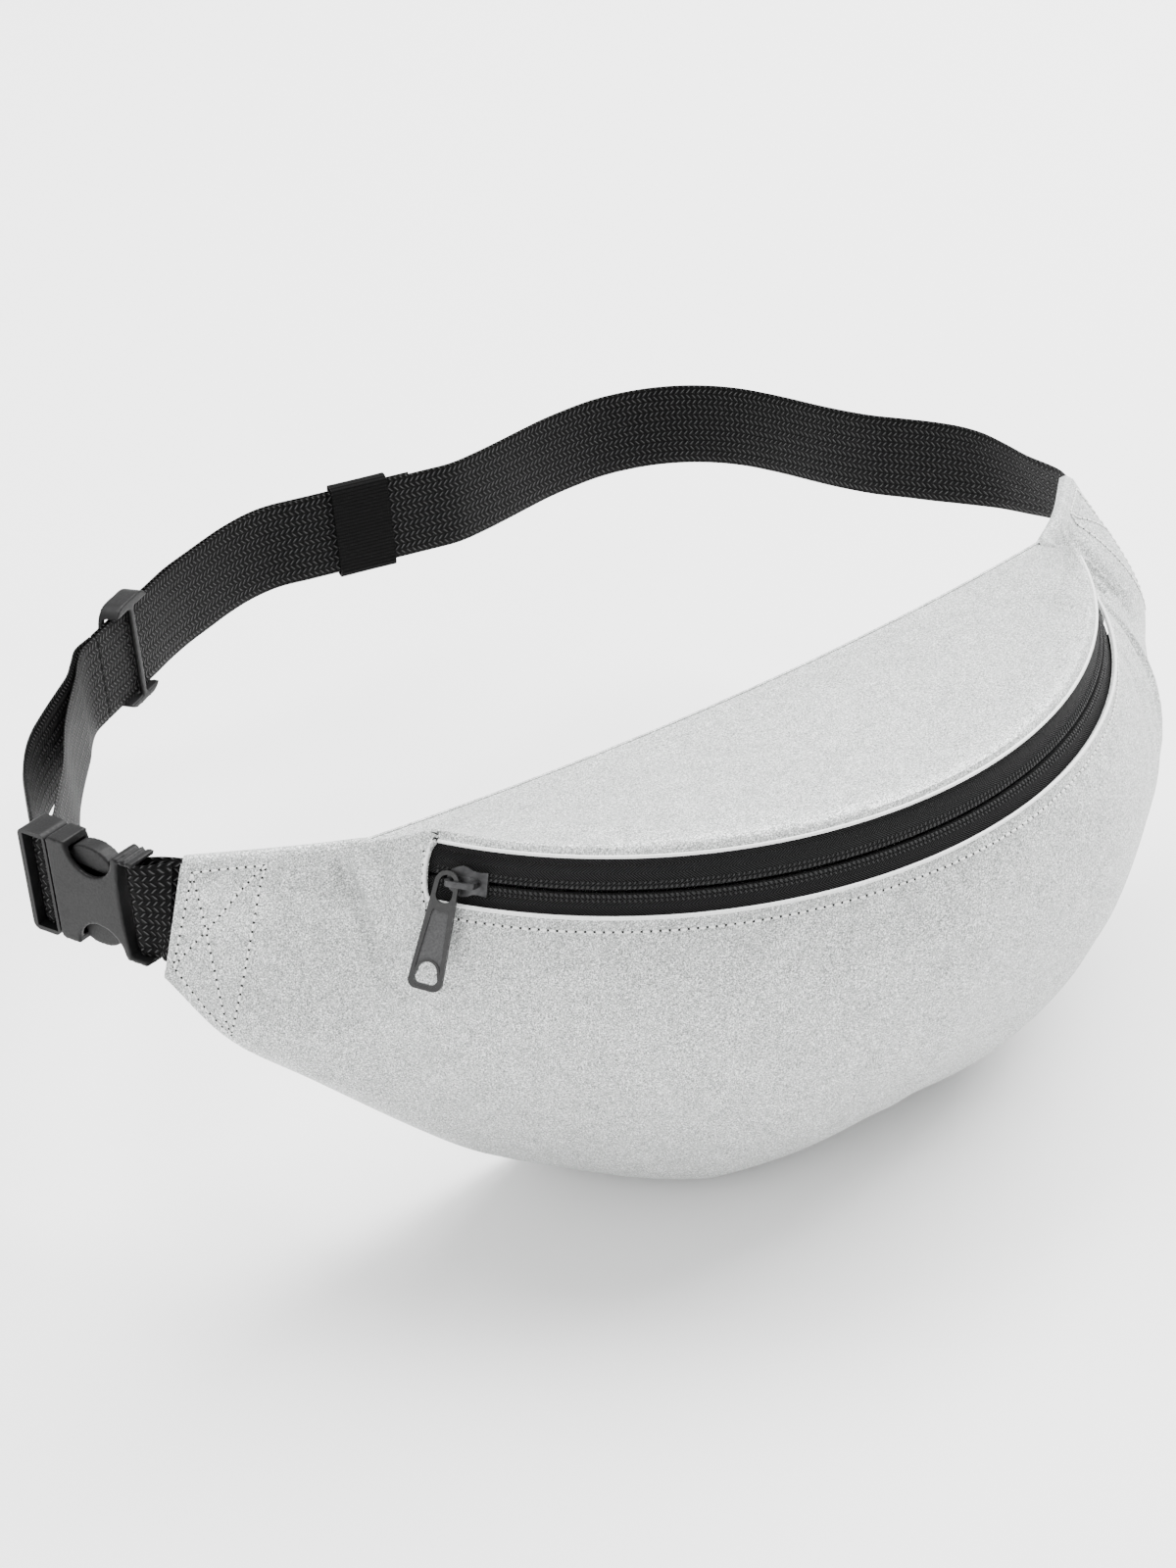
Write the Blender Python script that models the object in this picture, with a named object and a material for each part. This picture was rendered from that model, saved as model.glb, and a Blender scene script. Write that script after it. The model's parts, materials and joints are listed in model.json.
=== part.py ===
"""Waist pack with a curved zip, a webbing belt, a side-release buckle and a strap adjuster.

Lengths here are millimetres, and put_mesh scales them to metres. The pack stands on
its flat base at Z = 0. X runs along the pack, -Y is its front and +Y the wearer's
side. The origin is on the flat base, under the middle of the pack.
"""

import math

import bmesh
import bpy
import numpy as np

MM = 0.001
GAP = 0.3  # clearance between pieces that touch

# Fabric shell
FABRIC = 0.8
BACK_EDGE_X = 130.0  # half length of the back edge of the top panel
BACK_EDGE_Y = 30.0
BACK_EDGE_Z = 137.0
BACK_EDGE_BOW = 8.0  # the middle of that edge lies this far forward of its ends
WING_TIP = (175.0, 60.0, 131.0)
WING_NORMAL = (0.75, -0.66, 0.0)  # outward, in plan
SANDWICH = 2.8  # room for the webbing between the two skins of a wing

# Zip: a flat circular arc, tipped up at the front
ZIP_CENTRE = np.array([0.0, 72.6, 132.1])
ZIP_TILT = math.radians(4.13)
ZIP_RADIUS = 142.5
ZIP_END = {1: math.radians(60.8), -1: math.radians(61.7)}  # ends of the opening
ZIP_BULGE = math.radians(0.95)  # the opening has round ends
TAPE_LEAN = math.radians(21.0)  # from the arc's axis
TAPE_HALF_THICK = 0.35
TAPE_UP = 10.9
TAPE_END_UP = 7.0  # the upper tape is trimmed down at its ends
TAPE_DOWN = 9.4
CHAIN_HALF_GAP = 0.6
COIL_WIDTH = 2.4
COIL_THICK = 1.3
OPENING_UP = 10.2
OPENING_DOWN = 6.8
SEAM_ALLOWANCE = 3.5  # how far each panel lies along the tape
ZIP_TURN = 1.06  # step at which the front panel has turned up round the end of the zip
SEAM_FAN = math.radians(3.2)  # the panel spreads by this much round the end of the zip
PANEL_OVER_TAPE = 1.8  # outer face of the panels above the middle of the tape

# Slider and pull tab
SLIDER_ANGLE = math.radians(-57.5)
SLIDER_LENGTH = 12.0
PULL_LIFT = math.radians(12.0)
PULL_LENGTH = 34.0
PULL_TOP_WIDTH = 7.2
PULL_WIDTH = 10.2
PULL_THICK = 1.3
BRIDGE_HEIGHT = 4.4
BRIDGE_SHIFT = -1.0
PULL_TWIST = math.radians(4.5)  # the tab hangs a little off square to the track

# Webbing and the plane that the belt lies in
WEB_WIDTH = 30.0
WEB = 1.3
BELT_TILT = math.radians(8.0)
BELT_ORIGIN = np.array([0.0, 60.0, 119.0])
BELT_UP = np.array([0.0, math.sin(BELT_TILT), math.cos(BELT_TILT)])
BELT_BACK = np.array([0.0, math.cos(BELT_TILT), -math.sin(BELT_TILT)])
LAYER = WEB + GAP

# Buckle: length axis runs from the tongue to the socket
BUCKLE_CENTRE = (-190.8, 22.6)
BUCKLE_AXIS = (0.267, -0.9637)
BUCKLE_HEIGHT = 34.0
BUCKLE_THICK = 10.0

# Strap adjuster and keeper: centre and heading in the belt plane
ADJUSTER_AT = (-101.0, 152.0)
ADJUSTER_HEADING = (-0.86, -0.5103)
ADJUSTER_LENGTH = 23.0
ADJUSTER_HEIGHT = 37.0
ADJUSTER_DROOP = -1.8
ADJUSTER_RISE = 1.0  # middle of the adjuster above the middle of the strap
KEEPER_AT = (4.0, 171.0)
KEEPER_HEADING = (-0.9642, 0.2652)
KEEPER_LENGTH = 20.0

# Shape of the front panel, one row of points per rail, in steps along the pack.
# Steps 0 to 1 follow the zip from its middle to its end, and 1 to 2 follow the wing.
RAIL_STEPS = (0.0, 0.5, 1.0, 1.2, 1.45, 1.7, 2.0)
RIGHT_RAILS = {
    "upper": ((0, -100, 85), (88, -81, 84), (165, -22, 84), (177, -9, 93), (176, 12, 104),
              (173, 31, 114), (179.7, 56.7, 121.7)),
    "lower": ((0, -53, 0), (63, -53, 0), (141, -16, 38), (159, -4, 49), (177, 11, 70),
              (184, 25, 92), (184.3, 53.3, 112.3)),
    "hem": ((0, -10, 0), (44, -12, 0), (101, 5, 17), (128, 14, 30), (162, 23, 56),
            (184, 31, 82), (189, 50, 103)),
    "back": ((0, 22, 0), (46, 23, 0), (93, 25, 14), (120, 28, 28), (154, 34, 56),
             (176, 38, 82), (187, 53, 103)),
}
LEFT_RAILS = {
    "upper": ((0, -100, 85), (85, -77, 84), (146, -9, 88), (155, 7, 98), (164, 19, 106),
              (169, 34, 114), (179.7, 56.7, 121.7)),
    "lower": ((0, -53, 0), (59, -46, 0), (125, -7, 34), (145, 4, 53), (169, 16, 75),
              (180, 27, 92), (184.3, 53.3, 112.3)),
    "hem": ((0, -10, 0), (42, -9, 0), (96, 9, 15), (122, 18, 33), (154, 29, 61),
            (176, 35, 82), (189, 50, 103)),
    "back": ((0, 22, 0), (45, 23, 0), (92, 25, 12), (118, 28, 31), (151, 34, 61),
             (172, 40, 82), (187, 53, 103)),
}


# ---------------------------------------------------------------- helpers


def clear_scene():
    for old in list(bpy.data.objects):
        bpy.data.objects.remove(old, do_unlink=True)


def material(name, colour, roughness, metallic=0.0):
    found = bpy.data.materials.get(name)
    if found:
        return found
    made = bpy.data.materials.new(name)
    made.use_nodes = True
    shader = made.node_tree.nodes["Principled BSDF"]
    shader.inputs["Base Color"].default_value = (*colour, 1.0)
    shader.inputs["Roughness"].default_value = roughness
    shader.inputs["Metallic"].default_value = metallic
    return made


def reflective_fabric():
    return material("reflective_fabric", (0.70, 0.72, 0.71), 0.55, 0.15)


def black_webbing():
    return material("black_webbing", (0.012, 0.012, 0.013), 0.85)


def black_plastic():
    return material("black_plastic", (0.02, 0.02, 0.021), 0.45)


def black_tape():
    return material("black_zip_tape", (0.015, 0.015, 0.016), 0.8)


def gunmetal():
    return material("gunmetal", (0.10, 0.10, 0.105), 0.35, 0.9)


def put_mesh(name, points, faces, finish, origin=(0.0, 0.0, 0.0)):
    """Makes one closed object from points in millimetres, with its origin at origin."""
    origin = np.array(origin, float)
    mesh = bpy.data.meshes.new(name)
    local = (np.array(points, float) - origin) * MM
    mesh.from_pydata([tuple(p) for p in local], [], faces)
    shape = bmesh.new()
    shape.from_mesh(mesh)
    bmesh.ops.recalc_face_normals(shape, faces=shape.faces)
    if shape.calc_volume(signed=True) < 0.0:
        bmesh.ops.reverse_faces(shape, faces=shape.faces)
    shape.to_mesh(mesh)
    shape.free()
    made = bpy.data.objects.new(name, mesh)
    made.location = tuple(origin * MM)
    bpy.context.scene.collection.objects.link(made)
    mesh.materials.append(finish)
    return made


def unit(vector):
    vector = np.array(vector, float)
    return vector / np.linalg.norm(vector)


def smooth_at(steps, points, step):
    """A smooth curve through points, read at step (cubic Hermite, tangents from neighbours)."""
    points = np.array(points, float)
    spans = [b - a for a, b in zip(steps, steps[1:])]
    slopes = [(points[i + 1] - points[i]) / spans[i] for i in range(len(spans))]
    tangents = [slopes[0]]
    for i in range(1, len(spans)):
        blend = spans[i - 1] + spans[i]
        tangents.append((slopes[i - 1] * spans[i] + slopes[i] * spans[i - 1]) / blend)
    tangents.append(slopes[-1])
    i = 0
    while i < len(spans) - 1 and step > steps[i + 1]:
        i += 1
    t = (step - steps[i]) / spans[i]
    start = (2 * t**3 - 3 * t**2 + 1) * points[i] + (t**3 - 2 * t**2 + t) * spans[i] * tangents[i]
    end = (3 * t**2 - 2 * t**3) * points[i + 1] + (t**3 - t**2) * spans[i] * tangents[i + 1]
    return start + end


def bezier(a, b, c, d, t):
    return (1 - t) ** 3 * a + 3 * (1 - t) ** 2 * t * b + 3 * (1 - t) * t**2 * c + t**3 * d


def grid_normals(grid):
    across = np.gradient(grid, axis=0)
    down = np.gradient(grid, axis=1)
    normals = np.cross(across, down)
    return normals / np.linalg.norm(normals, axis=2, keepdims=True)


def sheet_solid(name, grid, inward, finish):
    """A closed sheet: grid is its outer face, and inward is the thickness along its normals."""
    grid = np.array(grid, float)
    inner = grid + inward * grid_normals(grid)
    columns, rows = grid.shape[:2]
    points = np.concatenate([grid.reshape(-1, 3), inner.reshape(-1, 3)])
    half = columns * rows

    def at(i, j, side):
        return side * half + i * rows + j

    faces = []
    for i in range(columns - 1):
        for j in range(rows - 1):
            for side in (0, 1):
                quad = (at(i, j, side), at(i + 1, j, side), at(i + 1, j + 1, side), at(i, j + 1, side))
                faces.append(quad)
        for j in (0, rows - 1):
            faces.append((at(i, j, 0), at(i + 1, j, 0), at(i + 1, j, 1), at(i, j, 1)))
    for j in range(rows - 1):
        for i in (0, columns - 1):
            faces.append((at(i, j, 0), at(i, j + 1, 0), at(i, j + 1, 1), at(i, j, 1)))
    return put_mesh(name, points, faces, finish)


def swept_solid(name, sections, finish, origin=(0.0, 0.0, 0.0)):
    """A closed bar through a list of sections, each a ring of the same number of points."""
    ring = len(sections[0])
    points = np.array(sections, float).reshape(-1, 3)
    faces = [tuple(range(ring)), tuple(range(len(points) - ring, len(points)))]
    for i in range(len(sections) - 1):
        for j in range(ring):
            k = (j + 1) % ring
            faces.append((i * ring + j, i * ring + k, (i + 1) * ring + k, (i + 1) * ring + j))
    return put_mesh(name, points, faces, finish, origin)


def ribbon(name, path, ups, width, thick, finish):
    """Webbing along path, with its width along ups and its thickness across the path."""
    path = np.array(path, float)
    tangents = np.gradient(path, axis=0)
    sections = []
    for centre, tangent, up in zip(path, tangents, ups):
        up = unit(up)
        side = unit(np.cross(tangent, up))
        half_up = up * width / 2
        half_side = side * thick / 2
        corners = (half_up + half_side, half_side - half_up, -half_up - half_side, half_up - half_side)
        sections.append([centre + corner for corner in corners])
    return swept_solid(name, sections, finish)


class Frame:
    """A local frame: x along the piece, y across it and z up, in millimetres."""

    def __init__(self, origin, x_axis, y_axis, z_axis):
        self.origin = np.array(origin, float)
        self.axes = np.array([unit(x_axis), unit(y_axis), unit(z_axis)])

    def point(self, x, y, z):
        return self.origin + x * self.axes[0] + y * self.axes[1] + z * self.axes[2]


def box(name, frame, low, high, finish, origin=None):
    corners = [
        frame.point(x, y, z)
        for x in (low[0], high[0])
        for y in (low[1], high[1])
        for z in (low[2], high[2])
    ]
    faces = [(0, 1, 3, 2), (4, 6, 7, 5), (0, 4, 5, 1), (2, 3, 7, 6), (0, 2, 6, 4), (1, 5, 7, 3)]
    return put_mesh(name, corners, faces, finish, frame.origin if origin is None else origin)


def plate(name, frame, outline, low, high, finish, origin=None):
    """An outline in the frame's x and z, given a thickness from low to high along y."""
    near = [frame.point(x, low, z) for x, z in outline]
    far = [frame.point(x, high, z) for x, z in outline]
    return swept_solid(name, [near, far], finish, frame.origin if origin is None else origin)


def rounded(length, height, radius, steps=4, centre=(0.0, 0.0)):
    """A rectangle with round corners, as (x, z) points."""
    points = []
    for k, (sx, sz) in enumerate(((1, 1), (-1, 1), (-1, -1), (1, -1))):
        cx = centre[0] + sx * (length / 2 - radius)
        cz = centre[1] + sz * (height / 2 - radius)
        for i in range(steps + 1):
            a = math.pi / 2 * (k + i / steps)
            points.append((cx + radius * math.cos(a), cz + radius * math.sin(a)))
    return points


def disc(radius, centre, steps=24):
    return [
        (
            centre[0] + radius * math.cos(2 * math.pi * i / steps),
            centre[1] + radius * math.sin(2 * math.pi * i / steps),
        )
        for i in range(steps)
    ]


def combine(target, tools, operation):
    """Applies one exact Boolean for each tool and removes the tools."""
    for tool in tools:
        step = target.modifiers.new(operation.lower(), "BOOLEAN")
        step.object = tool
        step.operation = operation
        step.solver = "EXACT"
        bpy.context.view_layer.update()
        graph = bpy.context.evaluated_depsgraph_get()
        result = bpy.data.meshes.new_from_object(target.evaluated_get(graph))
        target.modifiers.remove(step)
        target.data = result
        bpy.data.objects.remove(tool, do_unlink=True)
    return target


def cut(target, *tools):
    return combine(target, tools, "DIFFERENCE")


def join(target, *tools):
    return combine(target, tools, "UNION")


# ---------------------------------------------------------------- zip


def zip_axis():
    return np.array([0.0, math.sin(ZIP_TILT), math.cos(ZIP_TILT)])


def zip_radial(angle):
    flat = -math.cos(angle)
    return np.array([math.sin(angle), flat * math.cos(ZIP_TILT), -flat * math.sin(ZIP_TILT)])


def zip_point(out, up, angle):
    """A point out from the middle of the chain and up along the tape, at an angle round the arc."""
    reach = ZIP_RADIUS + out * math.cos(TAPE_LEAN) - up * math.sin(TAPE_LEAN)
    rise = out * math.sin(TAPE_LEAN) + up * math.cos(TAPE_LEAN)
    return ZIP_CENTRE + reach * zip_radial(angle) + rise * zip_axis()


def zip_strip(name, out_low, out_high, up_low, up_high, overrun, finish):
    """A strip of constant section that follows the zip's arc."""
    steps = 42
    low = -ZIP_END[-1] + math.radians(0.4)
    high = ZIP_END[1] - math.radians(0.4)
    spread = math.radians(0.4 + overrun)
    places = [low - spread] + [low + (high - low) * i / steps for i in range(steps + 1)] + [high + spread]
    sections = []
    for i, angle in enumerate(places):
        end = i in (0, len(places) - 1)
        top = min(up_high, TAPE_END_UP) if end else up_high
        corners = ((out_low, up_low), (out_high, up_low), (out_high, top), (out_low, top))
        sections.append([zip_point(out, up, angle) for out, up in corners])
    return swept_solid(name, sections, finish)


def build_zip_tapes():
    half = TAPE_HALF_THICK
    zip_strip("zip_tape_upper", -half, half, CHAIN_HALF_GAP, TAPE_UP, 1.0, black_tape())
    zip_strip("zip_tape_lower", -half, half, -TAPE_DOWN, -CHAIN_HALF_GAP, 2.6, black_tape())


def build_zip_coils():
    top = -TAPE_HALF_THICK - GAP
    low = top - COIL_THICK
    far = CHAIN_HALF_GAP + COIL_WIDTH
    zip_strip("zip_coil_upper", low, top, CHAIN_HALF_GAP, far, 1.0, black_tape())
    zip_strip("zip_coil_lower", low, top, -far, -CHAIN_HALF_GAP, 1.0, black_tape())


def slider_frame():
    """x along the track, y out of the tape and z up the tape, at the slider's place."""
    origin = zip_point(0.0, 0.0, SLIDER_ANGLE)
    out = unit(zip_point(1.0, 0.0, SLIDER_ANGLE) - origin)
    up = unit(zip_point(0.0, 1.0, SLIDER_ANGLE) - origin)
    return Frame(origin, np.cross(up, out), out, up)


def build_slider():
    """Two plates joined by a thin web that runs in the gap of the chain, under a bridge."""
    frame = slider_frame()
    half = SLIDER_LENGTH / 2
    top_low = TAPE_HALF_THICK + 0.4
    top_high = top_low + 1.1
    under = -TAPE_HALF_THICK - GAP - COIL_THICK - 0.4
    outline = [(-half, -3.0), (-half + 2.6, -4.5), (-0.5, -4.5), (half, -3.6), (half, 3.6),
               (-0.5, 4.5), (-half + 2.6, 4.5), (-half, 3.0)]
    body = plate("zip_slider_body", frame, outline, top_low, top_high, gunmetal())
    lower = plate("slider_under", frame, outline, under - 1.0, under, gunmetal())
    web = box("slider_web", frame, (-3.0, under - 0.5, -0.3), (3.5, top_low + 0.5, 0.3), gunmetal())
    bridge = bridge_arch(frame, top_high)
    join(body, lower, web, bridge)
    return body


def bridge_arch(frame, base):
    """The arch that the pull tab hangs on, along the track."""
    reach, leg, depth, bar = 4.6, 1.4, 0.8, 1.1
    rise = base + BRIDGE_HEIGHT
    outline = [(-reach, base - 0.4), (-reach, rise - 0.6), (-reach + 1.2, rise + bar), (reach - 1.2, rise + bar),
               (reach, rise - 0.6), (reach, base - 0.4), (reach - leg, base - 0.4), (reach - leg, rise - 0.8),
               (reach - leg - 0.8, rise), (-reach + leg + 0.8, rise), (-reach + leg, rise - 0.8),
               (-reach + leg, base - 0.4)]
    outline = [(x + BRIDGE_SHIFT, y) for x, y in outline]
    near = [frame.point(x, y, -depth) for x, y in outline]
    far = [frame.point(x, y, depth) for x, y in outline]
    return swept_solid("slider_bridge", [near, far], gunmetal(), frame.origin)


def pull_frame():
    """x along the hinge axis, y out of the pull's face and z up the pull."""
    slider = slider_frame()
    plate_top = TAPE_HALF_THICK + 0.4 + 1.1
    origin = slider.point(BRIDGE_SHIFT - 3.9, plate_top + 1.9, 1.0)
    across = slider.axes[0] * math.cos(PULL_TWIST) - slider.axes[2] * math.sin(PULL_TWIST)
    flat_up = slider.axes[2] * math.cos(PULL_TWIST) + slider.axes[0] * math.sin(PULL_TWIST)
    out = slider.axes[1] * math.cos(PULL_LIFT) + flat_up * math.sin(PULL_LIFT)
    up = flat_up * math.cos(PULL_LIFT) - slider.axes[1] * math.sin(PULL_LIFT)
    return Frame(origin, across, out, up)


def tapered(top, bottom, high, low, corner, centre, steps=5):
    """An upright outline, wider at its bottom, with a round top and round lower corners."""
    points = []
    for i in range(2 * steps + 1):
        a = math.pi * i / (2 * steps)
        points.append((centre + top / 2 * math.cos(a), high - top / 2 + top / 2 * math.sin(a)))
    for side, first in ((-1, math.pi), (1, 1.5 * math.pi)):
        for i in range(steps + 1):
            a = first + math.pi / 2 * i / steps
            x = centre + side * (bottom / 2 - corner) + corner * math.cos(a)
            points.append((x, low + corner + corner * math.sin(a)))
    return points


def build_pull():
    """A flat tab with a ring round one leg of the bridge and a finger hole at its end."""
    frame = pull_frame()
    half = PULL_THICK / 2
    low = 1.9 - PULL_LENGTH
    outline = tapered(PULL_TOP_WIDTH, PULL_WIDTH, 1.9, low, 2.6, -0.1)
    tab = plate("zip_pull_tab", frame, outline, -half, half, gunmetal())
    ring = tapered(4.6, 4.9, 0.7, -7.6, 2.2, -0.1, 4)
    hole = tapered(6.0, 7.2, low + 8.2, low + 1.7, 1.8, -0.1, 4)
    ring_cutter = plate("ring_cutter", frame, ring, -2.0, 2.0, gunmetal())
    hole_cutter = plate("hole_cutter", frame, hole, -2.1, 2.1, gunmetal())
    return cut(tab, ring_cutter, hole_cutter)


# ---------------------------------------------------------------- fabric shell


def rails_of(side):
    return RIGHT_RAILS if side > 0 else LEFT_RAILS


def front_top(side, step):
    """The top edge of half of the front panel: under the zip, round its end, then the wing."""
    notch = ZIP_TURN
    end = ZIP_END[side]
    if step <= 1.0:
        return zip_point(PANEL_OVER_TAPE, -OPENING_DOWN, step * end)
    if step < notch:
        t = (step - 1.0) / (notch - 1.0)
        rise = (OPENING_UP - OPENING_DOWN) / 2 - (OPENING_UP + OPENING_DOWN) / 2 * math.cos(math.pi * t)
        return zip_point(PANEL_OVER_TAPE, rise, end + ZIP_BULGE * math.sin(math.pi * t))
    corner = zip_point(PANEL_OVER_TAPE, OPENING_UP, end)
    seam_end = (BACK_EDGE_X + 2.0, BACK_EDGE_Y - 4.0, BACK_EDGE_Z + 1.5)
    middle = (152.0, 40.0, 135.5)
    return smooth_at((notch, 1.3, 1.65, 2.0), (corner, seam_end, middle, WING_TIP), step)


def seam_points(side, step, top, upper):
    """Two points that lead from the top edge to the free part of the panel."""
    turned = max(0.0, min(1.0, (step - 1.0) / (ZIP_TURN - 1.0)))
    angle = min(step, 1.0) * ZIP_END[side]
    low = -OPENING_DOWN - SEAM_ALLOWANCE
    rise = low + SEAM_ALLOWANCE + (1.0 - math.cos(math.pi * turned)) / 2 * (OPENING_UP + OPENING_DOWN)
    halfway = zip_point(PANEL_OVER_TAPE, (rise + low) / 2, angle + 0.8 * SEAM_FAN * turned)
    start = zip_point(PANEL_OVER_TAPE, low, angle + SEAM_FAN * turned)
    if step > ZIP_TURN:
        share = (step - ZIP_TURN) / (2.0 - ZIP_TURN)
        corner = front_top(side, ZIP_TURN)
        along = unit(upper - top)
        halfway = top + (halfway - corner) * (1.0 - share) + 2.0 * share * along
        start = top + (start - corner) * (1.0 - share) + 4.0 * share * along
    return halfway, start


def front_section(side, step, rows):
    """One column of the front panel, from its top edge down, under the base and back."""
    rails = rails_of(side)
    top = front_top(1 if side > 0 else -1, step)
    upper, lower, hem, back = (
        smooth_at(RAIL_STEPS, rails[key], step) for key in ("upper", "lower", "hem", "back")
    )
    for point in (lower, hem, back):
        point[2] = max(point[2], 0.0)
    halfway, start = seam_points(1 if side > 0 else -1, step, top, upper)
    column = [top, halfway] + [bezier(start, upper, lower, hem, i / (rows - 3)) for i in range(rows - 2)]
    column.append((hem + back) / 2)
    column.append(back)
    return np.array(column) * (side, 1.0, 1.0)


def front_steps():
    along_zip = [-1.0 + 2.0 * i / 25 for i in range(26)]
    wing = [1.012, 1.024, 1.036, 1.048, 1.06, 1.13, 1.22, 1.32, 1.44, 1.56, 1.68, 1.79, 1.9, 2.0]
    return [-step for step in reversed(wing)] + along_zip + wing


def build_front_panel():
    grid = [front_section(math.copysign(1.0, step), abs(step), 14) for step in front_steps()]
    return sheet_solid("front_panel", grid, FABRIC, reflective_fabric())


def back_edge(share):
    """A point on the back edge of the top panel, from -1 at its left end to 1 at its right."""
    bow = BACK_EDGE_BOW * (1.0 - share**2)
    return np.array([BACK_EDGE_X * share, BACK_EDGE_Y - bow, BACK_EDGE_Z])


def build_top_panel():
    """A low dome from the zip's upper edge to the back edge."""
    columns, rows = 26, 8
    end_clear = 0.996  # ends short of the seams at both ends of the zip
    grid = []
    for i in range(columns):
        share = end_clear * (-1.0 + 2.0 * i / (columns - 1))
        end = ZIP_END[1 if share > 0 else -1]
        angle = end * share
        lip = zip_point(PANEL_OVER_TAPE, OPENING_UP, angle)
        front = zip_point(PANEL_OVER_TAPE, TAPE_UP + 1.6, angle)
        rise = front + 4.0 * unit(front - lip)
        edge = back_edge(share)
        handle = edge + (0.0, -0.3 * (edge[1] - front[1]), 6.0 * (1.0 - share**2) + 0.5)
        dome = [bezier(front, rise, handle, edge, j / (rows - 2)) for j in range(rows - 1)]
        grid.append([lip] + dome)
    return sheet_solid("top_panel", grid, -FABRIC, reflective_fabric())


def back_top(side, step):
    inward = -np.array(WING_NORMAL) * (SANDWICH + 2 * FABRIC)
    if step <= 1.0:
        return back_edge(step) * (side, 1.0, 1.0) + (0.0, FABRIC + GAP, 0.0)
    corner = back_edge(1.0) + (0.0, FABRIC + GAP, 0.0)
    middle = np.array([152.0, 40.0, 135.5]) + inward
    tip = np.array(WING_TIP) + inward
    return smooth_at((1.0, 1.5, 2.0), (corner, middle, tip), step) * (side, 1.0, 1.0)


def back_bottom(side, step):
    foot = smooth_at(RAIL_STEPS, rails_of(side)["back"], step)
    foot[2] = max(foot[2], 0.0) + GAP
    share = max(0.0, step - 1.2) / 0.8
    inward = np.array([-0.75, 0.66, 0.0]) * (FABRIC + 2 * GAP + SANDWICH) * share
    return (foot + inward + (0.0, (FABRIC + GAP) * (1.0 - share), 0.0)) * (side, 1.0, 1.0)


def build_back_panel():
    """The wearer's side, which runs on into the inner skins of both wings."""
    rows = 7
    grid = []
    for i in range(41):
        step = -2.0 + 4.0 * i / 40
        side = math.copysign(1.0, step)
        foot = back_bottom(side, abs(step))
        top = back_top(side, abs(step))
        grid.append([top + (foot - top) * j / (rows - 1) for j in range(rows)])
    return sheet_solid("back_panel", grid, -FABRIC, reflective_fabric())


def build_seam_bindings():
    """Bound seam allowances inside the pack, along the back panel's top and bottom."""
    strips = (("seam_binding_top", 0.86, BACK_EDGE_Z - 16.0, BACK_EDGE_Z - 5.0),
              ("seam_binding_bottom", 0.3, 4.0, 14.0))
    for name, reach, low, high in strips:
        sections = []
        for i in range(17):
            share = reach * (-1.0 + i / 8)
            up = (low + high) / 2 / BACK_EDGE_Z
            side = math.copysign(1.0, share)
            top = back_top(side, abs(share))
            foot = back_bottom(side, abs(share))
            wall = foot + (top - foot) * up
            near = wall[1] - FABRIC - 0.6
            corners = ((near - 0.8, low), (near, low), (near, high), (near - 0.8, high))
            sections.append([(wall[0], y, z) for y, z in corners])
        swept_solid(name, sections, black_tape())


# ---------------------------------------------------------------- belt


def belt_point(place, rise=0.0):
    """A point of the belt plane: across and back, with a rise along its normal."""
    return BELT_ORIGIN + np.array([place[0], 0.0, 0.0]) + place[1] * BELT_BACK + rise * BELT_UP


def on_line(centre, heading, distance, offset=0.0):
    """A place along a heading, moved outward from the belt's loop by offset."""
    across = (-heading[1], heading[0])
    if across[0] * centre[0] + across[1] * (centre[1] - 60.0) < 0.0:
        across = (heading[1], -heading[0])
    return (centre[0] + heading[0] * distance + across[0] * offset,
            centre[1] + heading[1] * distance + across[1] * offset)


def smooth_path(places, spacing):
    """Evenly read points of a smooth curve through places."""
    places = np.array(places, float)
    lengths = np.concatenate([[0.0], np.cumsum(np.linalg.norm(np.diff(places, axis=0), axis=1))])
    count = max(2, int(lengths[-1] / spacing))
    steps = list(lengths)
    return [smooth_at(steps, places, lengths[-1] * i / count) for i in range(count + 1)]


def wing_web(side, step):
    """Centre and width direction of the webbing held inside a wing."""
    column = front_section(side, step, 14)
    down = unit(column[13] - column[0])
    inward = -np.array(WING_NORMAL) * (side, 1.0, 1.0)
    top = column[0] + inward * (FABRIC + SANDWICH / 2) - down * 0.5
    return top + down * WEB_WIDTH / 2, -down


def main_places():
    """The single strap from the right wing's tip round the back to the adjuster."""
    keeper_marks = (-32.0, -21.0, -10.0, 0.0, 10.0, 21.0, 32.0)
    keeper_run = [on_line(KEEPER_AT, KEEPER_HEADING, at) for at in keeper_marks]
    adjuster_marks = (-28.0, -20.0, -10.0, 0.0, 10.0, 20.0)
    adjuster_run = [on_line(ADJUSTER_AT, ADJUSTER_HEADING, at) for at in adjuster_marks]
    side = [(181.0, 20.0), (178.5, 44.0), (170.0, 65.0), (160.0, 85.0), (154.0, 105.0), (150.0, 123.0),
            (142.5, 143.0), (129.0, 158.5), (110.0, 167.5), (84.0, 168.5), (58.0, 164.5)]
    return side + keeper_run + [(-45.0, 178.0), (-60.0, 173.5)] + adjuster_run


def build_waist_strap():
    tip, tip_up = wing_web(1.0, 2.0)
    inside, inside_up = wing_web(1.0, 1.9)
    route = smooth_path(main_places(), 11.0)
    path = [inside, (inside + tip) / 2, tip]
    ups = [inside_up, unit(inside_up + tip_up), tip_up]
    for i, place in enumerate(route):
        path.append(belt_point(place, droop(place)))
        settle = min(1.0, (i + 0.4) / 4.0)
        ups.append(tip_up * (1.0 - settle) + BELT_UP * settle)
    return ribbon("waist_strap", path, ups, WEB_WIDTH, WEB, black_webbing())


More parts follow.
